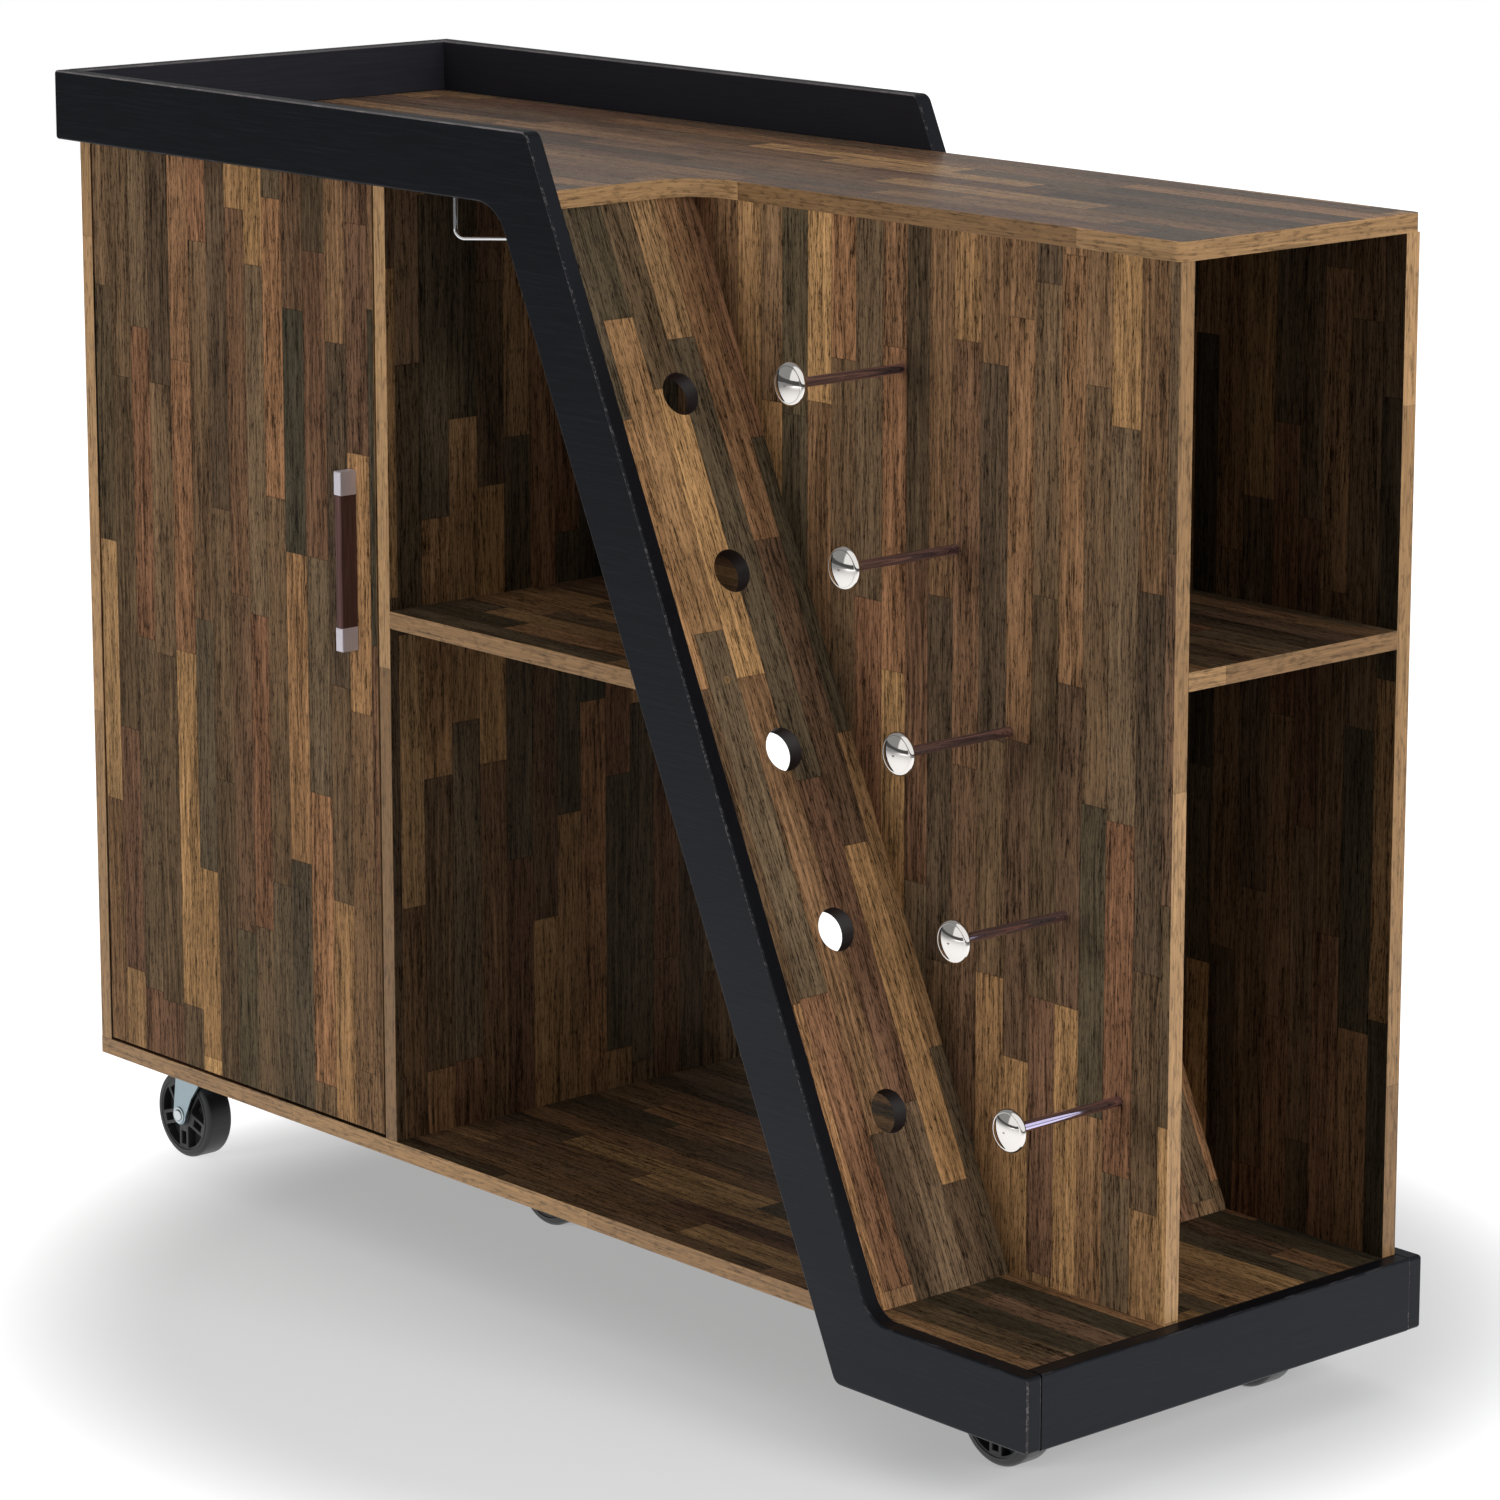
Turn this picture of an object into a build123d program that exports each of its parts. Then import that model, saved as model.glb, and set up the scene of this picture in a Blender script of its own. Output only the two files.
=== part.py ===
from build123d import *
import os
from math import atan2, cos, hypot, radians, sin, tan

# Mobile buffet cabinet in millimetres, +X along the front, +Y to the back, +Z up.
# The origin is on the floor under the middle of the cabinet.

# Overall sizes and stock
overall_length = 1220.0
overall_depth = 435.0
inner_height = 811.0
board = 15.0
frame_board = 15.0
rail_width = 60.0
edge_ease = 0.6

# Black Z-shaped frames
upper_rail_length = 648.0
lower_rail_length = 172.0
frame_tip_radius = 10.0
frame_bend_radius = 38.0
frame_heel_radius = 30.0
frame_edge_radius = 2.0

# Boards inside the carcass
locker_width = 402.0
slant_inset = 10.0
bottle_bay_depth = 144.5
top_overhang = 3.0
top_cove_radius = 40.0
top_corner_radius = 9.0
middle_shelf_height = 456.5
end_shelf_height = 504.0
locker_shelf_height = 398.0
locker_shelf_setback = 35.0
shelf_side_gap = 1.0

# Dowels that join the boards
dowel_radius = 4.0
dowel_in_face = 10.0
dowel_in_edge = 20.0
dowel_end_gap = 0.5
fit_clearance = 0.05
joint_setback = 75.0
joint_margin = 45.0

# Bottle rack
bottle_count = 5
bottle_hole_radius = 17.5
bottle_pitch = 146.5
lowest_hole_height = 132.5
bottle_radius = 39.5
peg_reach = 175.0
peg_rod_radius = 4.0
peg_rod_length = 112.5
peg_head_radius = 17.0
peg_edge_radius = 3.0
peg_face_rise = 3.0
peg_embed = 12.0

# Stemware rail pair under the top
stem_wire_radius = 2.0
stem_gap = 30.0
stem_to_slant = 116.0
stem_drop = 45.0
stem_mouth_setback = 46.0
stem_flare = 54.0
stem_rear_setback = 45.0
stem_bend_radius = 8.0
stem_flare_radius = 20.0
stem_embed = 10.0

# Door and its handle
door_gap = 2.5
handle_length = 152.0
handle_width = 9.0
handle_depth = 17.0
handle_cap_length = 20.0
handle_cap_proud = 0.5
handle_edge_inset = 30.0
handle_height = 493.0
handle_round = 1.5
handle_tenon = 5.0
handle_tenon_wall = 2.5
handle_screw_radius = 2.0
handle_screw_head_radius = 4.0
handle_screw_head = 2.5
handle_screw_bite = 9.0

# Cup hinges, one pivot each
hinge_end_distance = 100.0
pin_inset = 18.0
pin_depth = 8.5
pin_radius = 1.5
cup_radius = 17.5
cup_edge_distance = 5.0
cup_depth = 11.5
cup_wall = 1.5
cup_bottom = 1.0
cup_flange = 1.0
cup_flange_width = 22.0
cup_flange_margin = 6.0
cup_screw_spacing = 46.0
arm_thickness = 2.5
arm_width = 14.0
arm_eye_radius = 3.3
arm_exit_angle = 40.0
arm_bend_radius = 3.0
arm_tail = 34.0
swing_clearance = 1.3
hinge_plate_thickness = 3.0
hinge_plate_length = 40.0
hinge_plate_height = 46.0
hinge_screw_spacing = 32.0
hinge_screw_setback = 14.0

# Small wood screws
screw_radius = 1.6
screw_length = 11.0
screw_head_radius = 3.0
screw_head = 1.2
recess_length = 3.4
recess_width = 0.8
recess_depth = 0.8

# Magnetic catch
catch_width = 14.0
catch_height = 40.0
catch_depth = 22.0
catch_gap = 0.3
catch_drop = 60.0
strike_thickness = 1.2
strike_margin = 1.0

# Shelf pins
shelf_pin_radius = 2.5
shelf_pin_length = 10.0
shelf_pin_embed = 8.0
shelf_pin_inset = 50.0

# Swivel casters
wheel_radius = 40.0
wheel_width = 26.0
wheel_shoulder = 4.0
wheel_lift = 19.0
hub_radius = 10.0
hub_side = 2.0
hub_gap = 0.5
pocket_inner_radius = 13.0
pocket_outer_radius = 31.0
pocket_depth = 9.0
spoke_count = 5
spoke_width = 13.0
spoke_rib = 3.0
spoke_groove_depth = 7.0
rim_bead_radius = 33.5
rim_bead_width = 1.6
rim_bead = 0.8
axle_radius = 3.0
axle_head_radius = 5.0
axle_head = 2.0
fork_sheet = 2.5
fork_trail = 22.0
fork_tip_radius = 9.0
fork_crown_radius = 24.0
fork_front_reach = 17.0
fork_back_lean = 6.0
fork_edge_radius = 0.8
crown_wheel_gap = 3.5
kingpin_radius = 6.0
kingpin_head_radius = 9.0
kingpin_head = 2.5
swivel_gap = 0.4
race_radius = 21.0
plate_side = 60.0
plate_thickness = 2.5
plate_corner_radius = 6.0
plate_screw_spacing = 46.0
caster_end_distance = 68.0
caster_front_distance = 68.0
middle_caster_x = 455.0
middle_caster_forward = 15.0

# Levels and faces that follow from the sizes above
caster_height = 2 * wheel_radius + wheel_lift
underside_z = caster_height
floor_z = underside_z + board
ceiling_z = floor_z + inner_height
top_z = ceiling_z + board
gallery_z = ceiling_z + rail_width
base_z = floor_z - rail_width
left = -overall_length / 2
right = overall_length / 2
front = -overall_depth / 2
back = overall_depth / 2
carcass_left = left + frame_board
carcass_right = right - frame_board
carcass_front = front + frame_board
carcass_back = back - frame_board
locker_left = carcass_left + board
locker_right = locker_left + locker_width
bay_left = locker_right + board
peg_face_y = carcass_front + bottle_bay_depth
peg_back_y = peg_face_y + board
end_back_y = carcass_back - board
tip_x = left + upper_rail_length
heel_x = right - lower_rail_length
lean = atan2(heel_x - tip_x, gallery_z - floor_z)
slant_normal = (cos(lean), 0, sin(lean))
slant_outer = slant_inset
slant_inner = slant_inset + board


def slant_x(height, inset):
    """X on a line parallel to the diagonal, inset square from its right edge, at a height."""
    return tip_x + (gallery_z - height) * tan(lean) - inset / cos(lean)


def facing(points, direction):
    """Planes at the points, all facing one direction."""
    return [Plane(origin=point, z_dir=direction) for point in points]


def finish(piece, name):
    """Label a finished piece and write it to its own file."""
    piece.label = name
    export_step(piece, f"parts/{name}.step")


os.makedirs("parts", exist_ok=True)

# Dowel places on each joint plane, as points on the face that the dowel is sunk into
top_mid_z = ceiling_z + board / 2
bottom_mid_z = floor_z - board / 2
wide_end = slant_x(ceiling_z, slant_outer) + top_overhang
top_joint_xs = (carcass_left + joint_setback, bay_left, wide_end - joint_setback)
slant_joint_zs = [floor_z + inner_height * share for share in (0.2, 0.5, 0.8)]
base_joint_xs = (heel_x + joint_margin, carcass_right - joint_margin)
front_to_top = [(x, carcass_front, top_mid_z) for x in top_joint_xs]
front_to_slant = [(slant_x(z, slant_inner - board / 2), carcass_front, z) for z in slant_joint_zs]
front_to_base = [(x, carcass_front, bottom_mid_z) for x in base_joint_xs]
rear_to_top = [(x, carcass_back, z) for x, _, z in front_to_top]
rear_to_slant = [(x, carcass_back, z) for x, _, z in front_to_slant]
rear_to_base = [(x, carcass_back, z) for x, _, z in front_to_base]
side_ys = (carcass_front + joint_setback, carcass_back - joint_setback)
end_ys = (carcass_front + 2 * joint_setback, carcass_back - 2 * joint_setback)
end_to_top = [(carcass_left, y, top_mid_z) for y in end_ys]
end_to_base = [(carcass_right, y, bottom_mid_z) for y in side_ys]
side_mid_x = carcass_left + board / 2
divider_mid_x = locker_right + board / 2
locker_xs = (locker_left + 2 * joint_setback, locker_right - 2 * joint_setback)
low_xs = (slant_x(floor_z, slant_outer) + joint_margin / 2, carcass_right - joint_margin / 2)
high_xs = (slant_x(ceiling_z, slant_outer) + joint_setback, carcass_right - joint_setback)
peg_mid_y = peg_face_y + board / 2
end_mid_y = carcass_back - board / 2
side_feet = [(side_mid_x, y, floor_z) for y in side_ys]
divider_feet = [(divider_mid_x, y, floor_z) for y in side_ys]
locker_back_feet = [(x, end_mid_y, floor_z) for x in locker_xs]
peg_feet = [(x, peg_mid_y, floor_z) for x in low_xs]
end_back_feet = [(x, end_mid_y, floor_z) for x in low_xs]
side_heads = [(x, y, ceiling_z) for x, y, _ in side_feet]
divider_heads = [(x, y, ceiling_z) for x, y, _ in divider_feet]
locker_back_heads = [(x, y, ceiling_z) for x, y, _ in locker_back_feet]
peg_heads = [(x, peg_mid_y, ceiling_z) for x in high_xs]
end_back_heads = [(x, end_mid_y, ceiling_z) for x in high_xs]
all_feet = side_feet + divider_feet + locker_back_feet + peg_feet + end_back_feet
all_heads = side_heads + divider_heads + locker_back_heads + peg_heads + end_back_heads
UP, DOWN = (0, 0, 1), (0, 0, -1)
BACKWARD, FORWARD = (0, 1, 0), (0, -1, 0)
RIGHTWARD, LEFTWARD = (1, 0, 0), (-1, 0, 0)


def dowel_holes(points, outward, depth):
    """Sink dowel holes at the points of a face whose outward normal is given."""
    with Locations(*facing(points, outward)):
        Hole(radius=dowel_radius + fit_clearance, depth=depth + dowel_end_gap)


def dowels(points, into_edge):
    """Stand dowels at the points, from the drilled face into the board's edge."""
    with Locations(*[plane.offset(-dowel_in_face) for plane in facing(points, into_edge)]):
        Cylinder(
            radius=dowel_radius,
            height=dowel_in_face + dowel_in_edge,
            align=(Align.CENTER, Align.CENTER, Align.MIN),
        )


# Bottle places: holes down the slanted board, pegs a bottle's radius below their axes
hole_zs = [
    floor_z + lowest_hole_height + number * bottle_pitch * cos(lean) for number in range(bottle_count)
]
bottle_y = carcass_front + bottle_bay_depth / 2
hole_points = [(slant_x(z, slant_outer), bottle_y, z) for z in hole_zs]
peg_drop = bottle_radius + peg_rod_radius
peg_points = [
    (
        x + peg_reach * cos(lean) + peg_drop * sin(lean),
        peg_face_y,
        z + peg_reach * sin(lean) - peg_drop * cos(lean),
    )
    for x, _, z in hole_points
]

# Stemware rail places
stem_half = stem_gap / 2 + stem_wire_radius
stem_z = ceiling_z - stem_drop
stem_centre = slant_x(stem_z, slant_inner) - stem_to_slant
stem_front_y = carcass_front + stem_mouth_setback
stem_rear_y = carcass_back - stem_rear_setback
stem_feet = [
    (stem_centre + side * (stem_half + reach), y)
    for side in (-1, 1)
    for reach, y in ((stem_flare, stem_front_y), (0, stem_rear_y))
]

# Screws through the slanted board and the divider into the middle shelf
middle_shelf_top = floor_z + middle_shelf_height
middle_shelf_mid = middle_shelf_top - board / 2
shelf_screw_ys = (carcass_front + bottle_bay_depth / 4, carcass_back - joint_setback)
slant_screw_points = [
    (
        slant_x(middle_shelf_mid, slant_inner) + board * cos(lean),
        y,
        middle_shelf_mid + board * sin(lean),
    )
    for y in shelf_screw_ys
]
divider_screw_points = [(locker_right, y, middle_shelf_mid) for y in shelf_screw_ys]
shelf_screw_length = board + screw_length

# Door, hinge and catch places
door_left = locker_left + door_gap
door_right = locker_right - door_gap
door_bottom = floor_z + door_gap
door_top = ceiling_z - door_gap
door_back = carcass_front + board
hinge_x = door_left + pin_inset
hinge_y = carcass_front + pin_depth
cup_x = door_left + cup_edge_distance + cup_radius
hinge_heights = {"lower": door_bottom + hinge_end_distance, "upper": door_top - hinge_end_distance}
cup_places = [(cup_x, door_back, z) for z in hinge_heights.values()]
cup_screw_places = [
    (cup_x, door_back, z + side * cup_screw_spacing / 2) for z in hinge_heights.values() for side in (-1, 1)
]
handle_x = door_right - handle_edge_inset
handle_z = floor_z + handle_height
handle_screw_zs = [handle_z + side * (handle_length - handle_cap_length) / 2 for side in (-1, 1)]
catch_z = door_top - catch_drop
catch_front_y = door_back + strike_thickness + catch_gap
catch_screw_points = [
    (locker_right - catch_width, catch_front_y + catch_depth / 2, catch_z + side * catch_height / 3)
    for side in (-1, 1)
]
plate_front_y = hinge_y + pin_inset + swing_clearance + arm_thickness
hinge_screw_y = plate_front_y + hinge_screw_setback
plate_screw_points = [
    (locker_left, hinge_screw_y, z + side * hinge_screw_spacing / 2)
    for z in hinge_heights.values()
    for side in (-1, 1)
]

# Locker shelf and its pins
locker_shelf_bottom = floor_z + locker_shelf_height - board
locker_shelf_front = carcass_front + locker_shelf_setback
pin_ys = (locker_shelf_front + shelf_pin_inset, end_back_y - shelf_pin_inset)
shelf_pin_z = locker_shelf_bottom - shelf_pin_radius - fit_clearance
left_pin_points = [(locker_left, y, shelf_pin_z) for y in pin_ys]
right_pin_points = [(locker_right, y, shelf_pin_z) for y in pin_ys]

# Caster places: swivel axes near the four corners and one under the middle
caster_left_x = carcass_left + caster_end_distance
caster_right_x = carcass_right - caster_end_distance
caster_front_y = carcass_front + caster_front_distance
caster_back_y = carcass_back - caster_front_distance
casters = {
    "front_left": (caster_left_x, caster_front_y),
    "front_right": (caster_right_x, caster_front_y),
    "rear_left": (caster_left_x, caster_back_y),
    "rear_right": (caster_right_x, caster_back_y),
    "middle": (left + middle_caster_x, -middle_caster_forward),
}
crown_bottom = 2 * wheel_radius + crown_wheel_gap
crown_top = crown_bottom + fork_sheet
plate_screw_offsets = [
    (x + dx * plate_screw_spacing / 2, y + dy * plate_screw_spacing / 2, underside_z)
    for x, y in casters.values()
    for dx in (-1, 1)
    for dy in (-1, 1)
]

# Black Z-shaped frames, front and rear
frame_points = [
    (left, gallery_z),
    (tip_x, gallery_z),
    (heel_x, floor_z),
    (right, floor_z),
    (right, base_z),
    (slant_x(base_z, rail_width), base_z),
    (slant_x(ceiling_z, rail_width), ceiling_z),
    (left, ceiling_z),
]
frame_corner_radius = 1.5 * frame_edge_radius
frame_radii = [
    frame_corner_radius,
    frame_tip_radius,
    frame_heel_radius,
    frame_corner_radius,
    frame_corner_radius,
    frame_tip_radius,
    frame_bend_radius,
    frame_corner_radius,
]

with BuildPart() as front_frame:
    with BuildSketch(Plane.XZ.offset(-carcass_front)):
        with BuildLine():
            FilletPolyline(*frame_points, radius=frame_radii, close=True)
        make_face()
    extrude(amount=frame_board)
    fillet(front_frame.edges().filter_by(Plane.XZ), frame_edge_radius)
    dowel_holes(front_to_top + front_to_slant + front_to_base, BACKWARD, dowel_in_face)
finish(front_frame.part, "front_frame")

with BuildPart() as rear_frame:
    with BuildSketch(Plane.XZ.offset(-back)):
        with BuildLine():
            FilletPolyline(*frame_points, radius=frame_radii, close=True)
        make_face()
    extrude(amount=frame_board)
    fillet(rear_frame.edges().filter_by(Plane.XZ), frame_edge_radius)
    dowel_holes(rear_to_top + rear_to_slant + rear_to_base, FORWARD, dowel_in_face)
finish(rear_frame.part, "rear_frame")

# End rails between the frames: one on the gallery, one on the base
with BuildPart() as gallery_end_rail:
    with BuildSketch(Plane.YZ.offset(left)):
        with Locations((0, ceiling_z + rail_width / 2)):
            Rectangle(carcass_back - carcass_front, rail_width)
    extrude(amount=frame_board)
    fillet(gallery_end_rail.edges().filter_by(Axis.Y), frame_edge_radius)
    dowel_holes(end_to_top, RIGHTWARD, dowel_in_face)
finish(gallery_end_rail.part, "gallery_end_rail")

with BuildPart() as base_end_rail:
    with BuildSketch(Plane.YZ.offset(carcass_right)):
        with Locations((0, base_z + rail_width / 2)):
            Rectangle(carcass_back - carcass_front, rail_width)
    extrude(amount=frame_board)
    fillet(base_end_rail.edges().filter_by(Axis.Y), frame_edge_radius)
    dowel_holes(end_to_base, LEFTWARD, dowel_in_face)
finish(base_end_rail.part, "base_end_rail")

# Top board: full depth over the locker and middle bay, set back over the bottle rack
top_points = [
    (carcass_left, carcass_front),
    (wide_end, carcass_front),
    (wide_end, peg_face_y),
    (carcass_right, peg_face_y),
    (carcass_right, carcass_back),
    (carcass_left, carcass_back),
]
top_radii = [0, 0, top_cove_radius, top_corner_radius, top_corner_radius / 2, 0]
with BuildPart() as top_board:
    with BuildSketch(Plane.XY.offset(ceiling_z)):
        with BuildLine():
            FilletPolyline(*top_points, radius=top_radii, close=True)
        make_face()
    extrude(amount=board)
    fillet(top_board.faces().sort_by(Axis.Z)[-1].edges(), edge_ease)
    dowel_holes(all_heads, DOWN, dowel_in_face)
    dowel_holes(front_to_top, FORWARD, dowel_in_edge)
    dowel_holes(rear_to_top, BACKWARD, dowel_in_edge)
    dowel_holes(end_to_top, LEFTWARD, dowel_in_edge)
    with Locations(*facing([(x, y, ceiling_z) for x, y in stem_feet], DOWN)):
        Hole(radius=stem_wire_radius + fit_clearance, depth=stem_embed + dowel_end_gap)
finish(top_board.part, "top_board")

# Bottom board
with BuildPart() as bottom_board:
    with BuildSketch(Plane.XY.offset(underside_z)):
        Rectangle(carcass_right - carcass_left, carcass_back - carcass_front)
    extrude(amount=board)
    fillet(bottom_board.edges().filter_by(Axis.X), edge_ease)
    dowel_holes(all_feet, UP, dowel_in_face)
    dowel_holes(front_to_base, FORWARD, dowel_in_edge)
    dowel_holes(rear_to_base, BACKWARD, dowel_in_edge)
    dowel_holes(end_to_base, RIGHTWARD, dowel_in_edge)
    with Locations(*facing(plate_screw_offsets, DOWN)):
        Hole(radius=screw_radius + fit_clearance, depth=screw_length)
finish(bottom_board.part, "bottom_board")

# Upright boards of the locker
with BuildPart() as left_side_panel:
    with BuildSketch(Plane.YZ.offset(carcass_left)):
        with Locations((0, (floor_z + ceiling_z) / 2)):
            Rectangle(carcass_back - carcass_front, inner_height)
    extrude(amount=board)
    fillet(left_side_panel.edges().filter_by(Axis.Z), edge_ease)
    dowel_holes(side_feet, DOWN, dowel_in_edge)
    dowel_holes(side_heads, UP, dowel_in_edge)
    with Locations(*facing(left_pin_points, RIGHTWARD)):
        Hole(radius=shelf_pin_radius + fit_clearance, depth=shelf_pin_embed + dowel_end_gap)
    with Locations(*facing(plate_screw_points, RIGHTWARD)):
        Hole(radius=screw_radius + fit_clearance, depth=screw_length)
finish(left_side_panel.part, "left_side_panel")

with BuildPart() as divider_panel:
    with BuildSketch(Plane.YZ.offset(locker_right)):
        with Locations((0, (floor_z + ceiling_z) / 2)):
            Rectangle(carcass_back - carcass_front, inner_height)
    extrude(amount=board)
    fillet(divider_panel.edges().filter_by(Axis.Z), edge_ease)
    dowel_holes(divider_feet, DOWN, dowel_in_edge)
    dowel_holes(divider_heads, UP, dowel_in_edge)
    with Locations(*facing(right_pin_points, LEFTWARD)):
        Hole(radius=shelf_pin_radius + fit_clearance, depth=shelf_pin_embed + dowel_end_gap)
    with Locations(*facing(divider_screw_points, LEFTWARD)):
        CounterSinkHole(
            radius=screw_radius + fit_clearance,
            counter_sink_radius=screw_head_radius + fit_clearance,
            counter_sink_angle=90,
        )
    with Locations(*facing([(locker_right, y, z) for _, y, z in catch_screw_points], LEFTWARD)):
        Hole(radius=screw_radius + fit_clearance, depth=screw_length / 2 + dowel_end_gap)
finish(divider_panel.part, "divider_panel")

with BuildPart() as locker_back_panel:
    with BuildSketch(Plane.XZ.offset(-carcass_back)):
        with Locations(((locker_left + locker_right) / 2, (floor_z + ceiling_z) / 2)):
            Rectangle(locker_width, inner_height)
    extrude(amount=board)
    dowel_holes(locker_back_feet, DOWN, dowel_in_edge)
    dowel_holes(locker_back_heads, UP, dowel_in_edge)
finish(locker_back_panel.part, "locker_back_panel")

with BuildPart() as locker_shelf:
    with BuildSketch(Plane.XY.offset(locker_shelf_bottom)):
        with Locations(((locker_left + locker_right) / 2, (locker_shelf_front + end_back_y) / 2)):
            Rectangle(locker_width - 2 * shelf_side_gap, end_back_y - locker_shelf_front)
    extrude(amount=board)
    fillet(locker_shelf.faces().sort_by(Axis.Y)[0].edges().filter_by(Axis.X), edge_ease)
finish(locker_shelf.part, "locker_shelf")

with BuildPart() as locker_shelf_pins:
    pin_planes = facing(left_pin_points, RIGHTWARD) + facing(right_pin_points, LEFTWARD)
    with Locations(*[plane.offset(-shelf_pin_embed) for plane in pin_planes]):
        Cylinder(
            radius=shelf_pin_radius,
            height=shelf_pin_embed + shelf_pin_length,
            align=(Align.CENTER, Align.CENTER, Align.MIN),
        )
finish(locker_shelf_pins.part, "locker_shelf_pins")

# Slanted board with its bottle holes
with BuildPart() as slanted_board:
    with BuildSketch(Plane.XZ.offset(-carcass_back)):
        with BuildLine():
            Polyline(
                (slant_x(floor_z, slant_inner), floor_z),
                (slant_x(floor_z, slant_outer), floor_z),
                (slant_x(ceiling_z, slant_outer), ceiling_z),
                (slant_x(ceiling_z, slant_inner), ceiling_z),
                close=True,
            )
        make_face()
    extrude(amount=carcass_back - carcass_front)
    with Locations(*facing(hole_points, slant_normal)):
        Hole(radius=bottle_hole_radius, depth=2 * board)
    with Locations(*facing(slant_screw_points, slant_normal)):
        CounterSinkHole(
            radius=screw_radius + fit_clearance,
            counter_sink_radius=screw_head_radius + fit_clearance,
            counter_sink_angle=90,
            depth=2 * board,
        )
    dowel_holes(front_to_slant, FORWARD, dowel_in_edge)
    dowel_holes(rear_to_slant, BACKWARD, dowel_in_edge)
finish(slanted_board.part, "slanted_board")

# Shelf of the middle bay, cut to the slant at its right end
with BuildPart() as middle_shelf:
    with BuildSketch(Plane.XZ.offset(-carcass_back)):
        with BuildLine():
            Polyline(
                (bay_left, middle_shelf_top - board),
                (slant_x(middle_shelf_top - board, slant_inner), middle_shelf_top - board),
                (slant_x(middle_shelf_top, slant_inner), middle_shelf_top),
                (bay_left, middle_shelf_top),
                close=True,
            )
        make_face()
    extrude(amount=carcass_back - carcass_front)
    fillet(middle_shelf.edges().filter_by(Axis.X), edge_ease)
    with Locations(*facing([(bay_left, y, z) for _, y, z in divider_screw_points], LEFTWARD)):
        Hole(radius=screw_radius + fit_clearance, depth=screw_length + dowel_end_gap)
    with Locations(*[plane.offset(-board) for plane in facing(slant_screw_points, slant_normal)]):
        Hole(radius=screw_radius + fit_clearance, depth=screw_length + dowel_end_gap)
finish(middle_shelf.part, "middle_shelf")

# Peg panel behind the bottles and the back panel of the end bay
wedge_points = [
    (slant_x(floor_z, slant_outer), floor_z),
    (carcass_right, floor_z),
    (carcass_right, ceiling_z),
    (slant_x(ceiling_z, slant_outer), ceiling_z),
]
with BuildPart() as peg_panel:
    with BuildSketch(Plane.XZ.offset(-peg_back_y)):
        with BuildLine():
            Polyline(*wedge_points, close=True)
        make_face()
    extrude(amount=board)
    fillet(peg_panel.faces().sort_by(Axis.X)[-1].edges().filter_by(Axis.Z), edge_ease)
    dowel_holes(peg_feet, DOWN, dowel_in_edge)
    dowel_holes(peg_heads, UP, dowel_in_edge)
    with Locations(*facing(peg_points, FORWARD)):
        Hole(radius=peg_rod_radius + fit_clearance, depth=peg_embed + dowel_end_gap)
finish(peg_panel.part, "peg_panel")

with BuildPart() as end_back_panel:
    with BuildSketch(Plane.XZ.offset(-carcass_back)):
        with BuildLine():
            Polyline(*wedge_points, close=True)
        make_face()
    extrude(amount=board)
    fillet(end_back_panel.faces().sort_by(Axis.X)[-1].edges().filter_by(Axis.Z), edge_ease)
    dowel_holes(end_back_feet, DOWN, dowel_in_edge)
    dowel_holes(end_back_heads, UP, dowel_in_edge)
finish(end_back_panel.part, "end_back_panel")

# Shelf of the end bay
end_shelf_top = floor_z + end_shelf_height
with BuildPart() as end_shelf:
    with BuildSketch(Plane.XZ.offset(-end_back_y)):
        with BuildLine():
            Polyline(
                (slant_x(end_shelf_top - board, slant_outer), end_shelf_top - board),
                (carcass_right, end_shelf_top - board),
                (carcass_right, end_shelf_top),
                (slant_x(end_shelf_top, slant_outer), end_shelf_top),
                close=True,
            )
        make_face()
    extrude(amount=end_back_y - peg_back_y)
    fillet(end_shelf.faces().sort_by(Axis.X)[-1].edges().filter_by(Axis.Y), edge_ease)
finish(end_shelf.part, "end_shelf")

# Dowels
with BuildPart() as frame_dowels:
    dowels(front_to_top + front_to_slant + front_to_base, BACKWARD)
    dowels(rear_to_top + rear_to_slant + rear_to_base, FORWARD)
    dowels(end_to_top, RIGHTWARD)
    dowels(end_to_base, LEFTWARD)
finish(frame_dowels.part, "frame_dowels")

with BuildPart() as panel_dowels:
    dowels(all_feet, UP)
    dowels(all_heads, DOWN)
finish(panel_dowels.part, "panel_dowels")


def countersunk_screws(planes, length):
    """Wood screws whose flat heads lie in the planes, with a cross recess in each head."""
    with Locations(*[plane.offset(-length) for plane in planes]):
        Cylinder(radius=screw_radius, height=length, align=(Align.CENTER, Align.CENTER, Align.MIN))
    sunk = screw_head_radius - screw_radius
    with Locations(*[plane.offset(-sunk / 2) for plane in planes]):
        Cone(bottom_radius=screw_radius, top_radius=screw_head_radius, height=sunk)
    with Locations(*planes):
        Box(recess_length, recess_width, 2 * recess_depth, mode=Mode.SUBTRACT)
        Box(recess_width, recess_length, 2 * recess_depth, mode=Mode.SUBTRACT)


def pan_screws(planes, length):
    """Wood screws with round heads standing on the planes, with a cross recess in each head."""
    with Locations(*[plane.offset(-length) for plane in planes]):
        Cylinder(radius=screw_radius, height=length, align=(Align.CENTER, Align.CENTER, Align.MIN))
    with Locations(*planes):
        Cylinder(radius=screw_head_radius, height=screw_head, align=(Align.CENTER, Align.CENTER, Align.MIN))
    with Locations(*[plane.offset(screw_head) for plane in planes]):
        Box(recess_length, recess_width, 2 * recess_depth, mode=Mode.SUBTRACT)
        Box(recess_width, recess_length, 2 * recess_depth, mode=Mode.SUBTRACT)


with BuildPart() as shelf_screws:
    countersunk_screws(facing(slant_screw_points, slant_normal), shelf_screw_length)
    countersunk_screws(facing(divider_screw_points, LEFTWARD), shelf_screw_length)
finish(shelf_screws.part, "shelf_screws")

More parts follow.
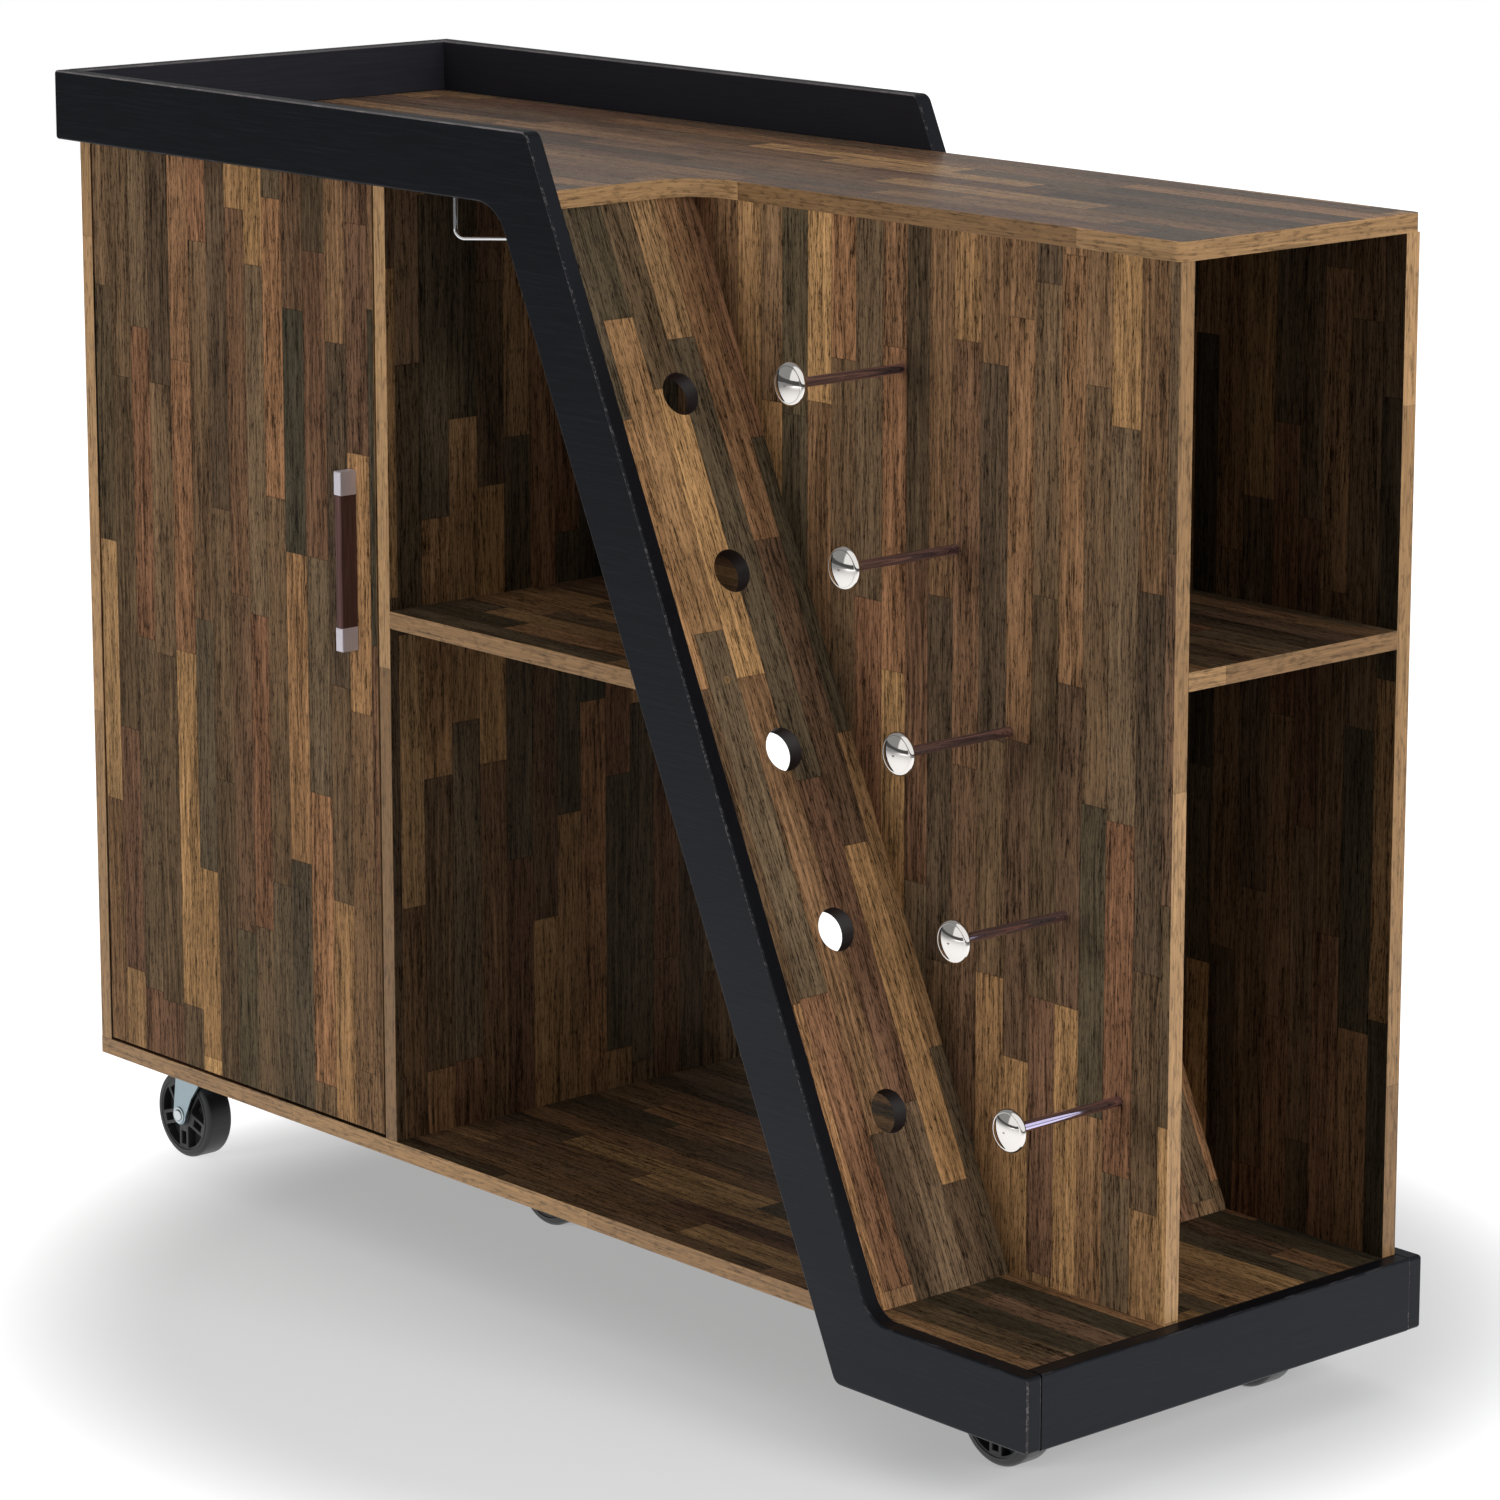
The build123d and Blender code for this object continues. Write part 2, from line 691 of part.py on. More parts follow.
# Bottle pegs: a bright rod with a broad round-edged head, its face slightly domed, numbered from the lowest
for number, (x, y, z) in enumerate(peg_points, start=1):
    rod_end = -peg_rod_length
    face_radius = peg_head_radius - peg_edge_radius
    face_edge = rod_end - 2 * peg_edge_radius
    face_sphere = (face_radius**2 + peg_face_rise**2) / (2 * peg_face_rise)
    with BuildPart() as bottle_peg:
        with BuildSketch(Plane(origin=(x, y, z), x_dir=RIGHTWARD, z_dir=UP)):
            with BuildLine():
                Polyline(
                    (0, face_edge - peg_face_rise),
                    (0, peg_embed),
                    (peg_rod_radius, peg_embed),
                    (peg_rod_radius, rod_end),
                    (face_radius, rod_end),
                )
                ThreePointArc(
                    (face_radius, rod_end),
                    (peg_head_radius, rod_end - peg_edge_radius),
                    (face_radius, face_edge),
                )
                RadiusArc((face_radius, face_edge), (0, face_edge - peg_face_rise), face_sphere)
            make_face()
        revolve(axis=Axis((x, y, z), BACKWARD))
    finish(bottle_peg.part, f"bottle_peg_{number}")

# Stemware rails: a bent wire each side of the slot, with a flared mouth
for side, name in ((-1, "left"), (1, "right")):
    run_x = stem_centre + side * stem_half
    mouth_x = run_x + side * stem_flare
    with BuildPart() as stem_rail:
        with BuildLine() as stem_path:
            FilletPolyline(
                (mouth_x, stem_front_y, ceiling_z + stem_embed),
                (mouth_x, stem_front_y, stem_z),
                (run_x, stem_front_y + stem_flare, stem_z),
                (run_x, stem_rear_y, stem_z),
                (run_x, stem_rear_y, ceiling_z + stem_embed),
                radius=[stem_bend_radius, stem_flare_radius, stem_bend_radius],
            )
        with BuildSketch(Plane(origin=stem_path.line @ 0, z_dir=stem_path.line % 0)):
            Circle(stem_wire_radius)
        sweep()
    finish(stem_rail.part, f"{name}_stem_rail")

# Door
with BuildPart() as door_panel:
    with BuildSketch(Plane.XZ.offset(-door_back)):
        with Locations(((door_left + door_right) / 2, (door_bottom + door_top) / 2)):
            Rectangle(door_right - door_left, door_top - door_bottom)
    extrude(amount=board)
    fillet(door_panel.faces().sort_by(Axis.Y)[0].edges(), edge_ease)
    with Locations(*facing(cup_places, BACKWARD)):
        Hole(radius=cup_radius + fit_clearance, depth=cup_depth + fit_clearance)
    with Locations(*facing(cup_screw_places, BACKWARD)):
        Hole(radius=screw_radius + fit_clearance, depth=screw_length)
    with Locations(*facing([(handle_x, door_back, z) for z in handle_screw_zs], BACKWARD)):
        Hole(radius=handle_screw_radius + fit_clearance, depth=2 * board)
finish(door_panel.part, "door_panel")

# Handle: a dark bar held between two metal caps that stand on the door
cap_half = handle_length / 2
tenon_width = handle_width - 2 * handle_tenon_wall
tenon_depth = handle_depth - 2 * handle_tenon_wall
handle_mid_y = carcass_front - handle_depth / 2
bar_length = handle_length - 2 * handle_cap_length
with BuildPart() as handle_bar:
    with BuildSketch(Plane.XY.offset(handle_z - bar_length / 2)):
        with Locations((handle_x, carcass_front - (handle_depth - handle_cap_proud) / 2)):
            Rectangle(handle_width - 2 * handle_cap_proud, handle_depth - handle_cap_proud)
    extrude(amount=bar_length)
    fillet(handle_bar.faces().sort_by(Axis.Y)[0].edges().filter_by(Axis.Z), handle_round)
    with BuildSketch(Plane.XY.offset(handle_z - bar_length / 2 - handle_tenon)):
        with Locations((handle_x, handle_mid_y)):
            Rectangle(tenon_width, tenon_depth)
    extrude(amount=bar_length + 2 * handle_tenon)
finish(handle_bar.part, "handle_bar")

for side, name, screw_z in ((-1, "lower", handle_screw_zs[0]), (1, "upper", handle_screw_zs[1])):
    cap_end = handle_z + side * cap_half
    mouth_z = cap_end - side * handle_cap_length
    with BuildPart() as handle_cap:
        with BuildSketch(Plane.XY.offset(cap_end)):
            with Locations((handle_x, handle_mid_y)):
                Rectangle(handle_width, handle_depth)
        extrude(amount=-side * handle_cap_length)
        fillet(handle_cap.faces().sort_by(Axis.Y)[0].edges(), handle_round)
        with BuildSketch(Plane.XY.offset(mouth_z)):
            with Locations((handle_x, handle_mid_y)):
                Rectangle(tenon_width + 2 * fit_clearance, tenon_depth + 2 * fit_clearance)
        extrude(amount=side * (handle_tenon + fit_clearance), mode=Mode.SUBTRACT)
        with Locations(*facing([(handle_x, carcass_front, screw_z)], BACKWARD)):
            Hole(radius=handle_screw_radius + fit_clearance, depth=handle_screw_bite + dowel_end_gap)
    finish(handle_cap.part, f"{name}_handle_cap")

with BuildPart() as handle_screws:
    screw_planes = facing([(handle_x, door_back, z) for z in handle_screw_zs], BACKWARD)
    with Locations(*[plane.offset(-board - handle_screw_bite) for plane in screw_planes]):
        Cylinder(
            radius=handle_screw_radius,
            height=board + handle_screw_bite,
            align=(Align.CENTER, Align.CENTER, Align.MIN),
        )
    with Locations(*screw_planes):
        Cylinder(
            radius=handle_screw_head_radius,
            height=handle_screw_head,
            align=(Align.CENTER, Align.CENTER, Align.MIN),
        )
finish(handle_screws.part, "handle_screws")

# Cup hinges: the cup turns with the door about a pin in the end of a cranked arm
swing_radius = hypot(pin_inset, max(pin_depth, board - pin_depth)) + swing_clearance
arm_radius = swing_radius + arm_thickness / 2
arm_spread = radians((90 - arm_exit_angle) / 2)
arm_reach = arm_radius / cos(arm_spread)
arm_back_x = -pin_inset - door_gap + hinge_plate_thickness + arm_thickness / 2
arm_points = [
    (0, 0),
    (arm_reach * cos(radians(arm_exit_angle)), arm_reach * sin(radians(arm_exit_angle))),
    (0, arm_reach),
    (arm_back_x, arm_reach),
    (arm_back_x, arm_reach + arm_tail),
]
pin_half = (cup_radius**2 - (cup_x - hinge_x) ** 2) ** 0.5 - cup_wall / 2
for name, z in hinge_heights.items():
    with BuildPart() as hinge_cup:
        with BuildSketch(Plane(origin=(cup_x, door_back - cup_depth, z), x_dir=RIGHTWARD, z_dir=BACKWARD)):
            Circle(cup_radius)
        extrude(amount=cup_depth)
        with BuildSketch(Plane(origin=(cup_x, door_back, z), x_dir=RIGHTWARD, z_dir=BACKWARD)):
            Circle(cup_radius)
            RectangleRounded(
                cup_flange_width,
                cup_screw_spacing + 2 * cup_flange_margin,
                cup_flange_width / 3,
            )
        extrude(amount=cup_flange)
        with BuildSketch(Plane(origin=(cup_x, door_back + cup_flange, z), x_dir=RIGHTWARD, z_dir=BACKWARD)):
            Circle(cup_radius - cup_wall)
        extrude(amount=-(cup_depth + cup_flange - cup_bottom), mode=Mode.SUBTRACT)
        with Locations(*facing([(hinge_x, hinge_y, z + 2 * cup_radius)], UP)):
            Hole(radius=pin_radius + fit_clearance, depth=4 * cup_radius)
        flange_screws = [(cup_x, door_back + cup_flange, z + s * cup_screw_spacing / 2) for s in (-1, 1)]
        with Locations(*facing(flange_screws, BACKWARD)):
            Hole(radius=screw_radius + fit_clearance, depth=2 * cup_flange)
    finish(hinge_cup.part, f"{name}_hinge_cup")

    with BuildPart() as hinge_arm:
        with BuildSketch(Plane(origin=(hinge_x, hinge_y, z - arm_width / 2))):
            with BuildLine():
                FilletPolyline(*arm_points, radius=arm_bend_radius)
            trace(line_width=arm_thickness)
            Circle(arm_eye_radius)
            Circle(pin_radius + fit_clearance, mode=Mode.SUBTRACT)
        extrude(amount=arm_width)
    finish(hinge_arm.part, f"{name}_hinge_arm")

    with BuildPart() as hinge_plate:
        with BuildSketch(Plane.YZ.offset(locker_left)):
            with Locations((plate_front_y + hinge_plate_length / 2, z)):
                RectangleRounded(hinge_plate_length, hinge_plate_height, hinge_plate_thickness)
        extrude(amount=hinge_plate_thickness)
        plate_holes = [
            (locker_left + hinge_plate_thickness, hinge_screw_y, z + s * hinge_screw_spacing / 2)
            for s in (-1, 1)
        ]
        with Locations(*facing(plate_holes, RIGHTWARD)):
            Hole(radius=screw_radius + fit_clearance, depth=2 * hinge_plate_thickness)
    finish(hinge_plate.part, f"{name}_hinge_plate")

with BuildPart() as hinge_pins:
    with Locations(*[(hinge_x, hinge_y, z) for z in hinge_heights.values()]):
        Cylinder(radius=pin_radius, height=2 * pin_half)
finish(hinge_pins.part, "hinge_pins")

with BuildPart() as hinge_cup_screws:
    pan_screws([plane.offset(cup_flange) for plane in facing(cup_screw_places, BACKWARD)], screw_length)
finish(hinge_cup_screws.part, "hinge_cup_screws")

with BuildPart() as hinge_plate_screws:
    plate_planes = facing(plate_screw_points, RIGHTWARD)
    pan_screws([plane.offset(hinge_plate_thickness) for plane in plate_planes], screw_length)
finish(hinge_plate_screws.part, "hinge_plate_screws")

# Magnetic catch on the divider and its strike on the door
with BuildPart() as magnetic_catch:
    with BuildSketch(Plane.YZ.offset(locker_right - catch_width)):
        with Locations((catch_front_y + catch_depth / 2, catch_z)):
            RectangleRounded(catch_depth, catch_height, edge_ease)
    extrude(amount=catch_width)
    with Locations(*facing(catch_screw_points, LEFTWARD)):
        Hole(radius=screw_radius + fit_clearance, depth=2 * catch_width)
finish(magnetic_catch.part, "magnetic_catch")

with BuildPart() as catch_screws:
    pan_screws(facing(catch_screw_points, LEFTWARD), catch_width + screw_length / 2)
finish(catch_screws.part, "catch_screws")

with BuildPart() as catch_strike:
    with BuildSketch(Plane.XZ.offset(-door_back - strike_thickness)):
        with Locations((locker_right - catch_width / 2 - door_gap, catch_z)):
            RectangleRounded(
                catch_width - 2 * strike_margin,
                catch_height - 2 * strike_margin,
                strike_margin,
            )
    extrude(amount=strike_thickness)
finish(catch_strike.part, "catch_strike")

# Swivel casters: plate with kingpin, fork, axle bolt and spoked wheel
race_top = underside_z - plate_thickness
race_bottom = crown_top + swivel_gap
kingpin_end = crown_bottom - swivel_gap
with BuildPart() as caster_plates:
    with BuildSketch(Plane.XY.offset(race_top)):
        with Locations(*casters.values()):
            RectangleRounded(plate_side, plate_side, plate_corner_radius)
    extrude(amount=plate_thickness)
    with BuildSketch(Plane.XY.offset(race_bottom)):
        with Locations(*casters.values()):
            Circle(race_radius)
    extrude(amount=race_top - race_bottom)
    with BuildSketch(Plane.XY.offset(kingpin_end)):
        with Locations(*casters.values()):
            Circle(kingpin_radius)
    extrude(amount=race_bottom - kingpin_end)
    with BuildSketch(Plane.XY.offset(kingpin_end - kingpin_head)):
        with Locations(*casters.values()):
            Circle(kingpin_head_radius)
    extrude(amount=kingpin_head)
    with Locations(*facing(plate_screw_offsets, DOWN)):
        Hole(radius=screw_radius + fit_clearance, depth=2 * plate_thickness)
    with Locations(*[plane.offset(plate_thickness) for plane in facing(plate_screw_offsets, DOWN)]):
        Hole(radius=screw_radius + fit_clearance, depth=2 * plate_thickness)
finish(caster_plates.part, "caster_plates")

with BuildPart() as caster_screws:
    pan_screws([plane.offset(plate_thickness) for plane in facing(plate_screw_offsets, DOWN)], screw_length)
finish(caster_screws.part, "caster_screws")

hub_half = wheel_width / 2 + hub_side
leg_inner = hub_half + hub_gap
leg_outer = leg_inner + fork_sheet
leg_back = fork_tip_radius - fork_back_lean
spoke_middle = (pocket_inner_radius + pocket_outer_radius) / 2
spoke_length = pocket_outer_radius - pocket_inner_radius - 2 * spoke_rib
for name, (x, y) in casters.items():
    axle_x = x - fork_trail
    with BuildPart() as caster_fork:
        for face_y in (y + leg_outer, y - leg_inner):
            with BuildSketch(Plane.XZ.offset(-face_y)):
                with BuildLine():
                    Polyline(
                        (axle_x - fork_tip_radius, wheel_radius),
                        (axle_x - leg_back, crown_bottom + fork_sheet / 2),
                        (x + fork_front_reach, crown_bottom + fork_sheet / 2),
                        (axle_x + 2 * fork_tip_radius, wheel_radius + 2 * fork_tip_radius),
                        (axle_x + fork_tip_radius, wheel_radius),
                        close=True,
                    )
                make_face()
                with Locations((axle_x, wheel_radius)):
                    Circle(fork_tip_radius)
            extrude(amount=fork_sheet)
        leg_faces = caster_fork.faces().filter_by(Axis.Y).sort_by(Axis.Y)
        fillet(leg_faces[0].edges() + leg_faces[-1].edges(), fork_edge_radius)
        with BuildSketch(Plane.XY.offset(crown_bottom)):
            with Locations((x, y)):
                Circle(fork_crown_radius)
            with Locations(((axle_x - leg_back + x) / 2, y)):
                Rectangle(x - axle_x + leg_back, 2 * leg_outer)
        extrude(amount=fork_sheet)
        with Locations(*facing([(x, y, crown_top)], UP)):
            Hole(radius=kingpin_radius + fit_clearance, depth=2 * fork_sheet)
        with Locations(*facing([(axle_x, y - leg_outer, wheel_radius)], FORWARD)):
            Hole(radius=axle_radius + fit_clearance, depth=3 * leg_outer)
    finish(caster_fork.part, f"{name}_caster_fork")

    with BuildPart() as caster_axle:
        with BuildSketch(Plane.XZ.offset(-(y + leg_outer))):
            with Locations((axle_x, wheel_radius)):
                Circle(axle_radius)
        extrude(amount=2 * leg_outer)
        with BuildSketch(Plane.XZ.offset(-(y - leg_outer))):
            with Locations((axle_x, wheel_radius)):
                Circle(axle_head_radius)
        extrude(amount=axle_head)
        fillet(caster_axle.edges().group_by(Axis.Y)[0], axle_head / 2)
        with BuildSketch(Plane.XZ.offset(-(y + leg_outer + axle_head))):
            with Locations((axle_x, wheel_radius)):
                RegularPolygon(axle_head_radius, 6)
        extrude(amount=axle_head)
    finish(caster_axle.part, f"{name}_caster_axle")

    with BuildPart() as caster_wheel:
        with BuildSketch(Plane.XZ.offset(-(y + wheel_width / 2))):
            with Locations((axle_x, wheel_radius)):
                Circle(wheel_radius)
        extrude(amount=wheel_width)
        fillet(caster_wheel.edges(), wheel_shoulder)
        for side in (1, -1):
            wheel_face = Plane.XZ.offset(-(y + side * wheel_width / 2))
            with BuildSketch(wheel_face):
                with Locations((axle_x, wheel_radius)):
                    Circle(pocket_outer_radius)
                    Circle(pocket_inner_radius, mode=Mode.SUBTRACT)
                    with PolarLocations(spoke_middle, spoke_count, start_angle=-90):
                        Rectangle(pocket_outer_radius, spoke_width, mode=Mode.SUBTRACT)
            extrude(amount=side * pocket_depth, mode=Mode.SUBTRACT)
            with BuildSketch(wheel_face):
                with Locations((axle_x, wheel_radius)):
                    with PolarLocations(spoke_middle, spoke_count, start_angle=-90):
                        Rectangle(spoke_length, spoke_width - 2 * spoke_rib)
            extrude(amount=side * spoke_groove_depth, mode=Mode.SUBTRACT)
            with BuildSketch(wheel_face):
                with Locations((axle_x, wheel_radius)):
                    Circle(rim_bead_radius + rim_bead_width / 2)
                    Circle(rim_bead_radius - rim_bead_width / 2, mode=Mode.SUBTRACT)
            extrude(amount=-side * rim_bead)
        with BuildSketch(Plane.XZ.offset(-(y + hub_half))):
            with Locations((axle_x, wheel_radius)):
                Circle(hub_radius)
        extrude(amount=2 * hub_half)
        with Locations(*facing([(axle_x, y - hub_half, wheel_radius)], FORWARD)):
            Hole(radius=axle_radius + fit_clearance, depth=3 * hub_half)
    finish(caster_wheel.part, f"{name}_caster_wheel")
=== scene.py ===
"""Looks of the mobile buffet cabinet: its finishes, caster fittings, studio and camera."""

import logging
import math
from collections.abc import Iterable, Sequence
from dataclasses import dataclass
from enum import Enum, IntEnum
from functools import cache
from typing import Any, NamedTuple, Protocol

import bpy
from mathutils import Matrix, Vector


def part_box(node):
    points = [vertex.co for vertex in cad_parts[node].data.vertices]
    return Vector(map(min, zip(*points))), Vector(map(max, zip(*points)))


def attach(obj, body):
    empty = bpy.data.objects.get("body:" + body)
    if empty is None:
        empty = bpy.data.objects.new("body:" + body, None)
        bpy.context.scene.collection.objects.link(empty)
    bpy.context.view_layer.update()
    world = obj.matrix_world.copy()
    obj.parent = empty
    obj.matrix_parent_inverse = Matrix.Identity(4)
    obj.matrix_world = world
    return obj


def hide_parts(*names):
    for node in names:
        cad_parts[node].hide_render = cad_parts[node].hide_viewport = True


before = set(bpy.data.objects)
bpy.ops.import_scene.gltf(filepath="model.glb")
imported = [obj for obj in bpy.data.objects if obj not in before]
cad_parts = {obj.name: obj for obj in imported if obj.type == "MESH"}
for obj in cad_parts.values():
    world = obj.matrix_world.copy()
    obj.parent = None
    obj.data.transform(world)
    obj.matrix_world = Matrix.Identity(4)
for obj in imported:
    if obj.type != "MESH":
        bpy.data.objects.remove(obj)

LOG = logging.getLogger("buffet_cabinet")
MM = 0.001
Colour = tuple[float, float, float, float]
Stops = Sequence[tuple[float, Colour]]
Range = tuple[float, float]
Triple = tuple[float, float, float]
Socket = bpy.types.NodeSocket


def srgb(red: int, green: int, blue: int) -> Colour:
    """A colour as a paint chart gives it, made linear for the shader.

    Args:
        red: Red, 0 to 255.
        green: Green, 0 to 255.
        blue: Blue, 0 to 255.

    Returns:
        The linear colour with full alpha.
    """

    def linear(level: int) -> float:
        """One channel made linear."""
        share = level / 255
        return share / 12.92 if share <= 0.04045 else ((share + 0.055) / 1.055) ** 2.4

    return linear(red), linear(green), linear(blue), 1.0


def middle(node: str) -> Vector:
    """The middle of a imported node's box, in metres."""
    low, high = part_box(node)
    return (low + high) / 2


ALONG_X = Vector((1.0, 0.0, 0.0))
ALONG_Y = Vector((0.0, 1.0, 0.0))
ALONG_Z = Vector((0.0, 0.0, 1.0))
SLOPE_RUN = (middle("bottle_peg_5") - middle("bottle_peg_1")).normalized()
SLOPE_NORMAL = Vector((SLOPE_RUN.z, 0.0, -SLOPE_RUN.x))
FOOT_SETBACK = 30 * MM
FRAME_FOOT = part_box("slanted_board")[1].x - FOOT_SETBACK
TRAY_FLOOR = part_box("top_board")[1].z
NOISE_MEAN = 0.5
WHITE: Colour = (1.0, 1.0, 1.0, 1.0)


class Value:
    """A number that varies over a surface; Python operators on it add Math nodes."""

    def __init__(self, graph: "Graph", socket: Socket) -> None:
        """Wrap one output socket of a graph."""
        self.graph = graph
        self.socket = socket

    def _math(self, operation: str, *operands: "Value | float") -> "Value":
        """Add one Math node.

        Args:
            operation: Blender's name of the operation.
            operands: Numbers or values, in the node's order.

        Returns:
            The node's result.
        """
        sockets = dict(enumerate(operands))
        return self.graph.value("ShaderNodeMath", {"operation": operation}, sockets)

    def __add__(self, other: "Value | float") -> "Value":
        """This plus another."""
        return self._math("ADD", self, other)

    def __radd__(self, other: float) -> "Value":
        """A number plus this."""
        return self._math("ADD", other, self)

    def __sub__(self, other: "Value | float") -> "Value":
        """This less another."""
        return self._math("SUBTRACT", self, other)

    def __rsub__(self, other: float) -> "Value":
        """A number less this."""
        return self._math("SUBTRACT", other, self)

    def __mul__(self, other: "Value | float") -> "Value":
        """This times another."""
        return self._math("MULTIPLY", self, other)

    def __rmul__(self, other: float) -> "Value":
        """A number times this."""
        return self._math("MULTIPLY", other, self)

    def __truediv__(self, other: "Value | float") -> "Value":
        """This over another."""
        return self._math("DIVIDE", self, other)

    def __pow__(self, other: float) -> "Value":
        """This to a power."""
        return self._math("POWER", self, other)

    def __abs__(self) -> "Value":
        """This without its sign."""
        return self._math("ABSOLUTE", self)

    def wave(self) -> "Value":
        """A wave from 0 to 1 whose phase is this, in radians."""
        return self._math("SINE", self) * 0.5 + 0.5

    def swing(self, width: float) -> "Value":
        """This noise about its mean, times a width."""
        return (self - NOISE_MEAN) * width

    def between(self, low: float, high: "Value | float") -> "Value":
        """This, from 0 to 1, spread out from low to high."""
        return self * (high - low) + low

    def at_least(self, low: float) -> "Value":
        """This, or a lowest value where this is less."""
        return self._math("MAXIMUM", self, low)

    def ramp(self, low: float, high: float) -> "Value":
        """Smooth step from 0 at low to 1 at high; high may be the smaller one."""
        settings = {"interpolation_type": "SMOOTHSTEP"}
        sockets = {"Value": self, "From Min": low, "From Max": high}
        return self.graph.value("ShaderNodeMapRange", settings, sockets)


class Strip(NamedTuple):
    """The three random numbers of a strip and the distance to its nearer end, in strips."""

    tone: Value
    figure: Value
    jitter: Value
    end: Value


class Blotches(NamedTuple):
    """A noise: its blotches per unit along three axes, how fine they get and how strongly.

    A slow noise bends it by sway blotches along its second axis, and layer sets it apart from others.
    """

    pitch: Triple
    detail: float = 2.0
    strength: float = 0.5
    sway: float = 0.0
    layer: float = 0.0


class Tint(NamedTuple):
    """A colour that some staves take: their range of chances, how strongly, and the colour."""

    chance: Range
    share: float
    colour: Colour


class Graph:
    """A node tree that is written as Python expressions."""

    def __init__(self, tree: bpy.types.NodeTree) -> None:
        """Take over a node tree and empty it.

        Args:
            tree: The tree of a material or a world.
        """
        self.tree = tree
        self.tree.nodes.clear()

    def node(
        self,
        kind: str,
        settings: dict[str, Any] | None = None,
        sockets: dict[str | int, Any] | None = None,
    ) -> bpy.types.Node:
        """Add a node, set it up and feed it.

        Args:
            kind: The node's type.
            settings: Its properties; the key stops holds a colour ramp's places and colours.
            sockets: Values or links of its inputs, by name or number.

        Returns:
            The node.
        """
        node = self.tree.nodes.new(kind)
        for key, setting in (settings or {}).items():
            if key == "stops":
                elements = node.color_ramp.elements
                while len(elements) < len(setting):
                    elements.new(0.5)
                for element, (place, colour) in zip(elements, setting):
                    element.position = place
                    element.color = colour
            else:
                setattr(node, key, setting)
        for key, given in (sockets or {}).items():
            self.feed(node.inputs[key], given)
        return node

    def feed(self, socket: Socket, given: Any) -> None:
        """Link a value or socket into an input, or set the input to a constant."""
        if isinstance(given, Value):
            given = given.socket
        if isinstance(given, bpy.types.NodeSocket):
            self.tree.links.new(given, socket)
        else:
            socket.default_value = given

    def value(
        self,
        kind: str,
        settings: dict[str, Any] | None = None,
        sockets: dict[str | int, Any] | None = None,
        output: str | int = 0,
    ) -> Value:
        """Add a node and wrap one of its outputs.

        Args:
            kind: The node's type.
            settings: Its properties.
            sockets: Its inputs.
            output: The output wanted, by name or number.

        Returns:
            The wrapped output.
        """
        return Value(self, self.node(kind, settings, sockets).outputs[output])

    def split(self, vector: Socket) -> tuple[Value, Value, Value]:
        """The X, Y and Z of a vector."""
        parts = self.node("ShaderNodeSeparateXYZ", sockets={0: vector}).outputs
        return Value(self, parts[0]), Value(self, parts[1]), Value(self, parts[2])

    def point(self, x: Value | float, y: Value | float, z: Value | float) -> Socket:
        """A vector from three values."""
        return self.node("ShaderNodeCombineXYZ", sockets={0: x, 1: y, 2: z}).outputs[0]

    def grey(self, level: Value) -> Socket:
        """A grey of some level as a colour."""
        sockets = {0: level, 1: level, 2: level}
        return self.node("ShaderNodeCombineColor", sockets=sockets).outputs[0]

    def noise(
        self,
        blotches: Blotches,
        place: tuple[Value, Value, Value | float],
        wander: Value | None = None,
    ) -> Value:
        """Soft noise about its mean.

        Args:
            blotches: How big and how fine its blotches are.
            place: Where to read it, along its three axes.
            wander: The slow noise that bends it, if one does.

        Returns:
            The noise.
        """
        along, across, through = (axis * pitch for axis, pitch in zip(place, blotches.pitch))
        if wander is not None:
            across = across + wander * blotches.sway
        if blotches.layer:
            through = through + blotches.layer
        sockets = {
            "Vector": self.point(along, across, through),
            "Scale": 1.0,
            "Detail": blotches.detail,
            "Roughness": blotches.strength,
        }
        return self.value("ShaderNodeTexNoise", sockets=sockets)

    def strips(self, along: Value, unevenness: float) -> Strip:
        """Cut a line into strips of about one unit.

        Args:
            along: The place on the line, in strips.
            unevenness: 0 for equal strips, up to 1 for random ones.

        Returns:
            What is random about each strip, and where it ends.
        """
        sockets = {"W": along, "Scale": 1.0, "Randomness": unevenness}
        kind = "ShaderNodeTexVoronoi"
        cells = self.node(kind, {"voronoi_dimensions": "1D", "feature": "F1"}, sockets)
        edges = {"voronoi_dimensions": "1D", "feature": "DISTANCE_TO_EDGE"}
        chances = self.node("ShaderNodeSeparateColor", sockets={0: cells.outputs["Color"]}).outputs
        tone, figure, jitter = (Value(self, chances[number]) for number in range(3))
        return Strip(tone, figure, jitter, self.value(kind, edges, sockets, "Distance"))

    def rays(self) -> tuple[Value, Value]:
        """Whether the camera sees a point directly, and whether in a mirror or through glass."""
        rays = self.node("ShaderNodeLightPath").outputs
        mirrored = Value(self, rays["Is Glossy Ray"]) + Value(self, rays["Is Transmission Ray"])
        return Value(self, rays["Is Camera Ray"]), mirrored

    def ladder(self, where: Value, stops: Stops) -> Socket:
        """A colour picked from a ladder of colours by a value from 0 to 1."""
        return self.node("ShaderNodeValToRGB", {"stops": stops}, {"Fac": where}).outputs["Color"]

    def mix(self, share: Value | float, below: Any, above: Any, blend: str = "MIX") -> Socket:
        """Lay one colour over another.

        Args:
            share: How much of the upper colour shows.
            below: The lower colour or its socket.
            above: The upper colour or its socket.
            blend: Blender's name of the way they mix.

        Returns:
            The mixed colour.
        """
        settings = {"data_type": "RGBA", "blend_type": blend}
        sockets = {"Factor": share, 6: below, 7: above}
        return self.node("ShaderNodeMix", settings, sockets).outputs[2]

    def shade(self, colour: Any, level: Value) -> Socket:
        """Darken or lighten a colour by a factor."""
        return self.mix(1.0, colour, self.grey(level), "MULTIPLY")

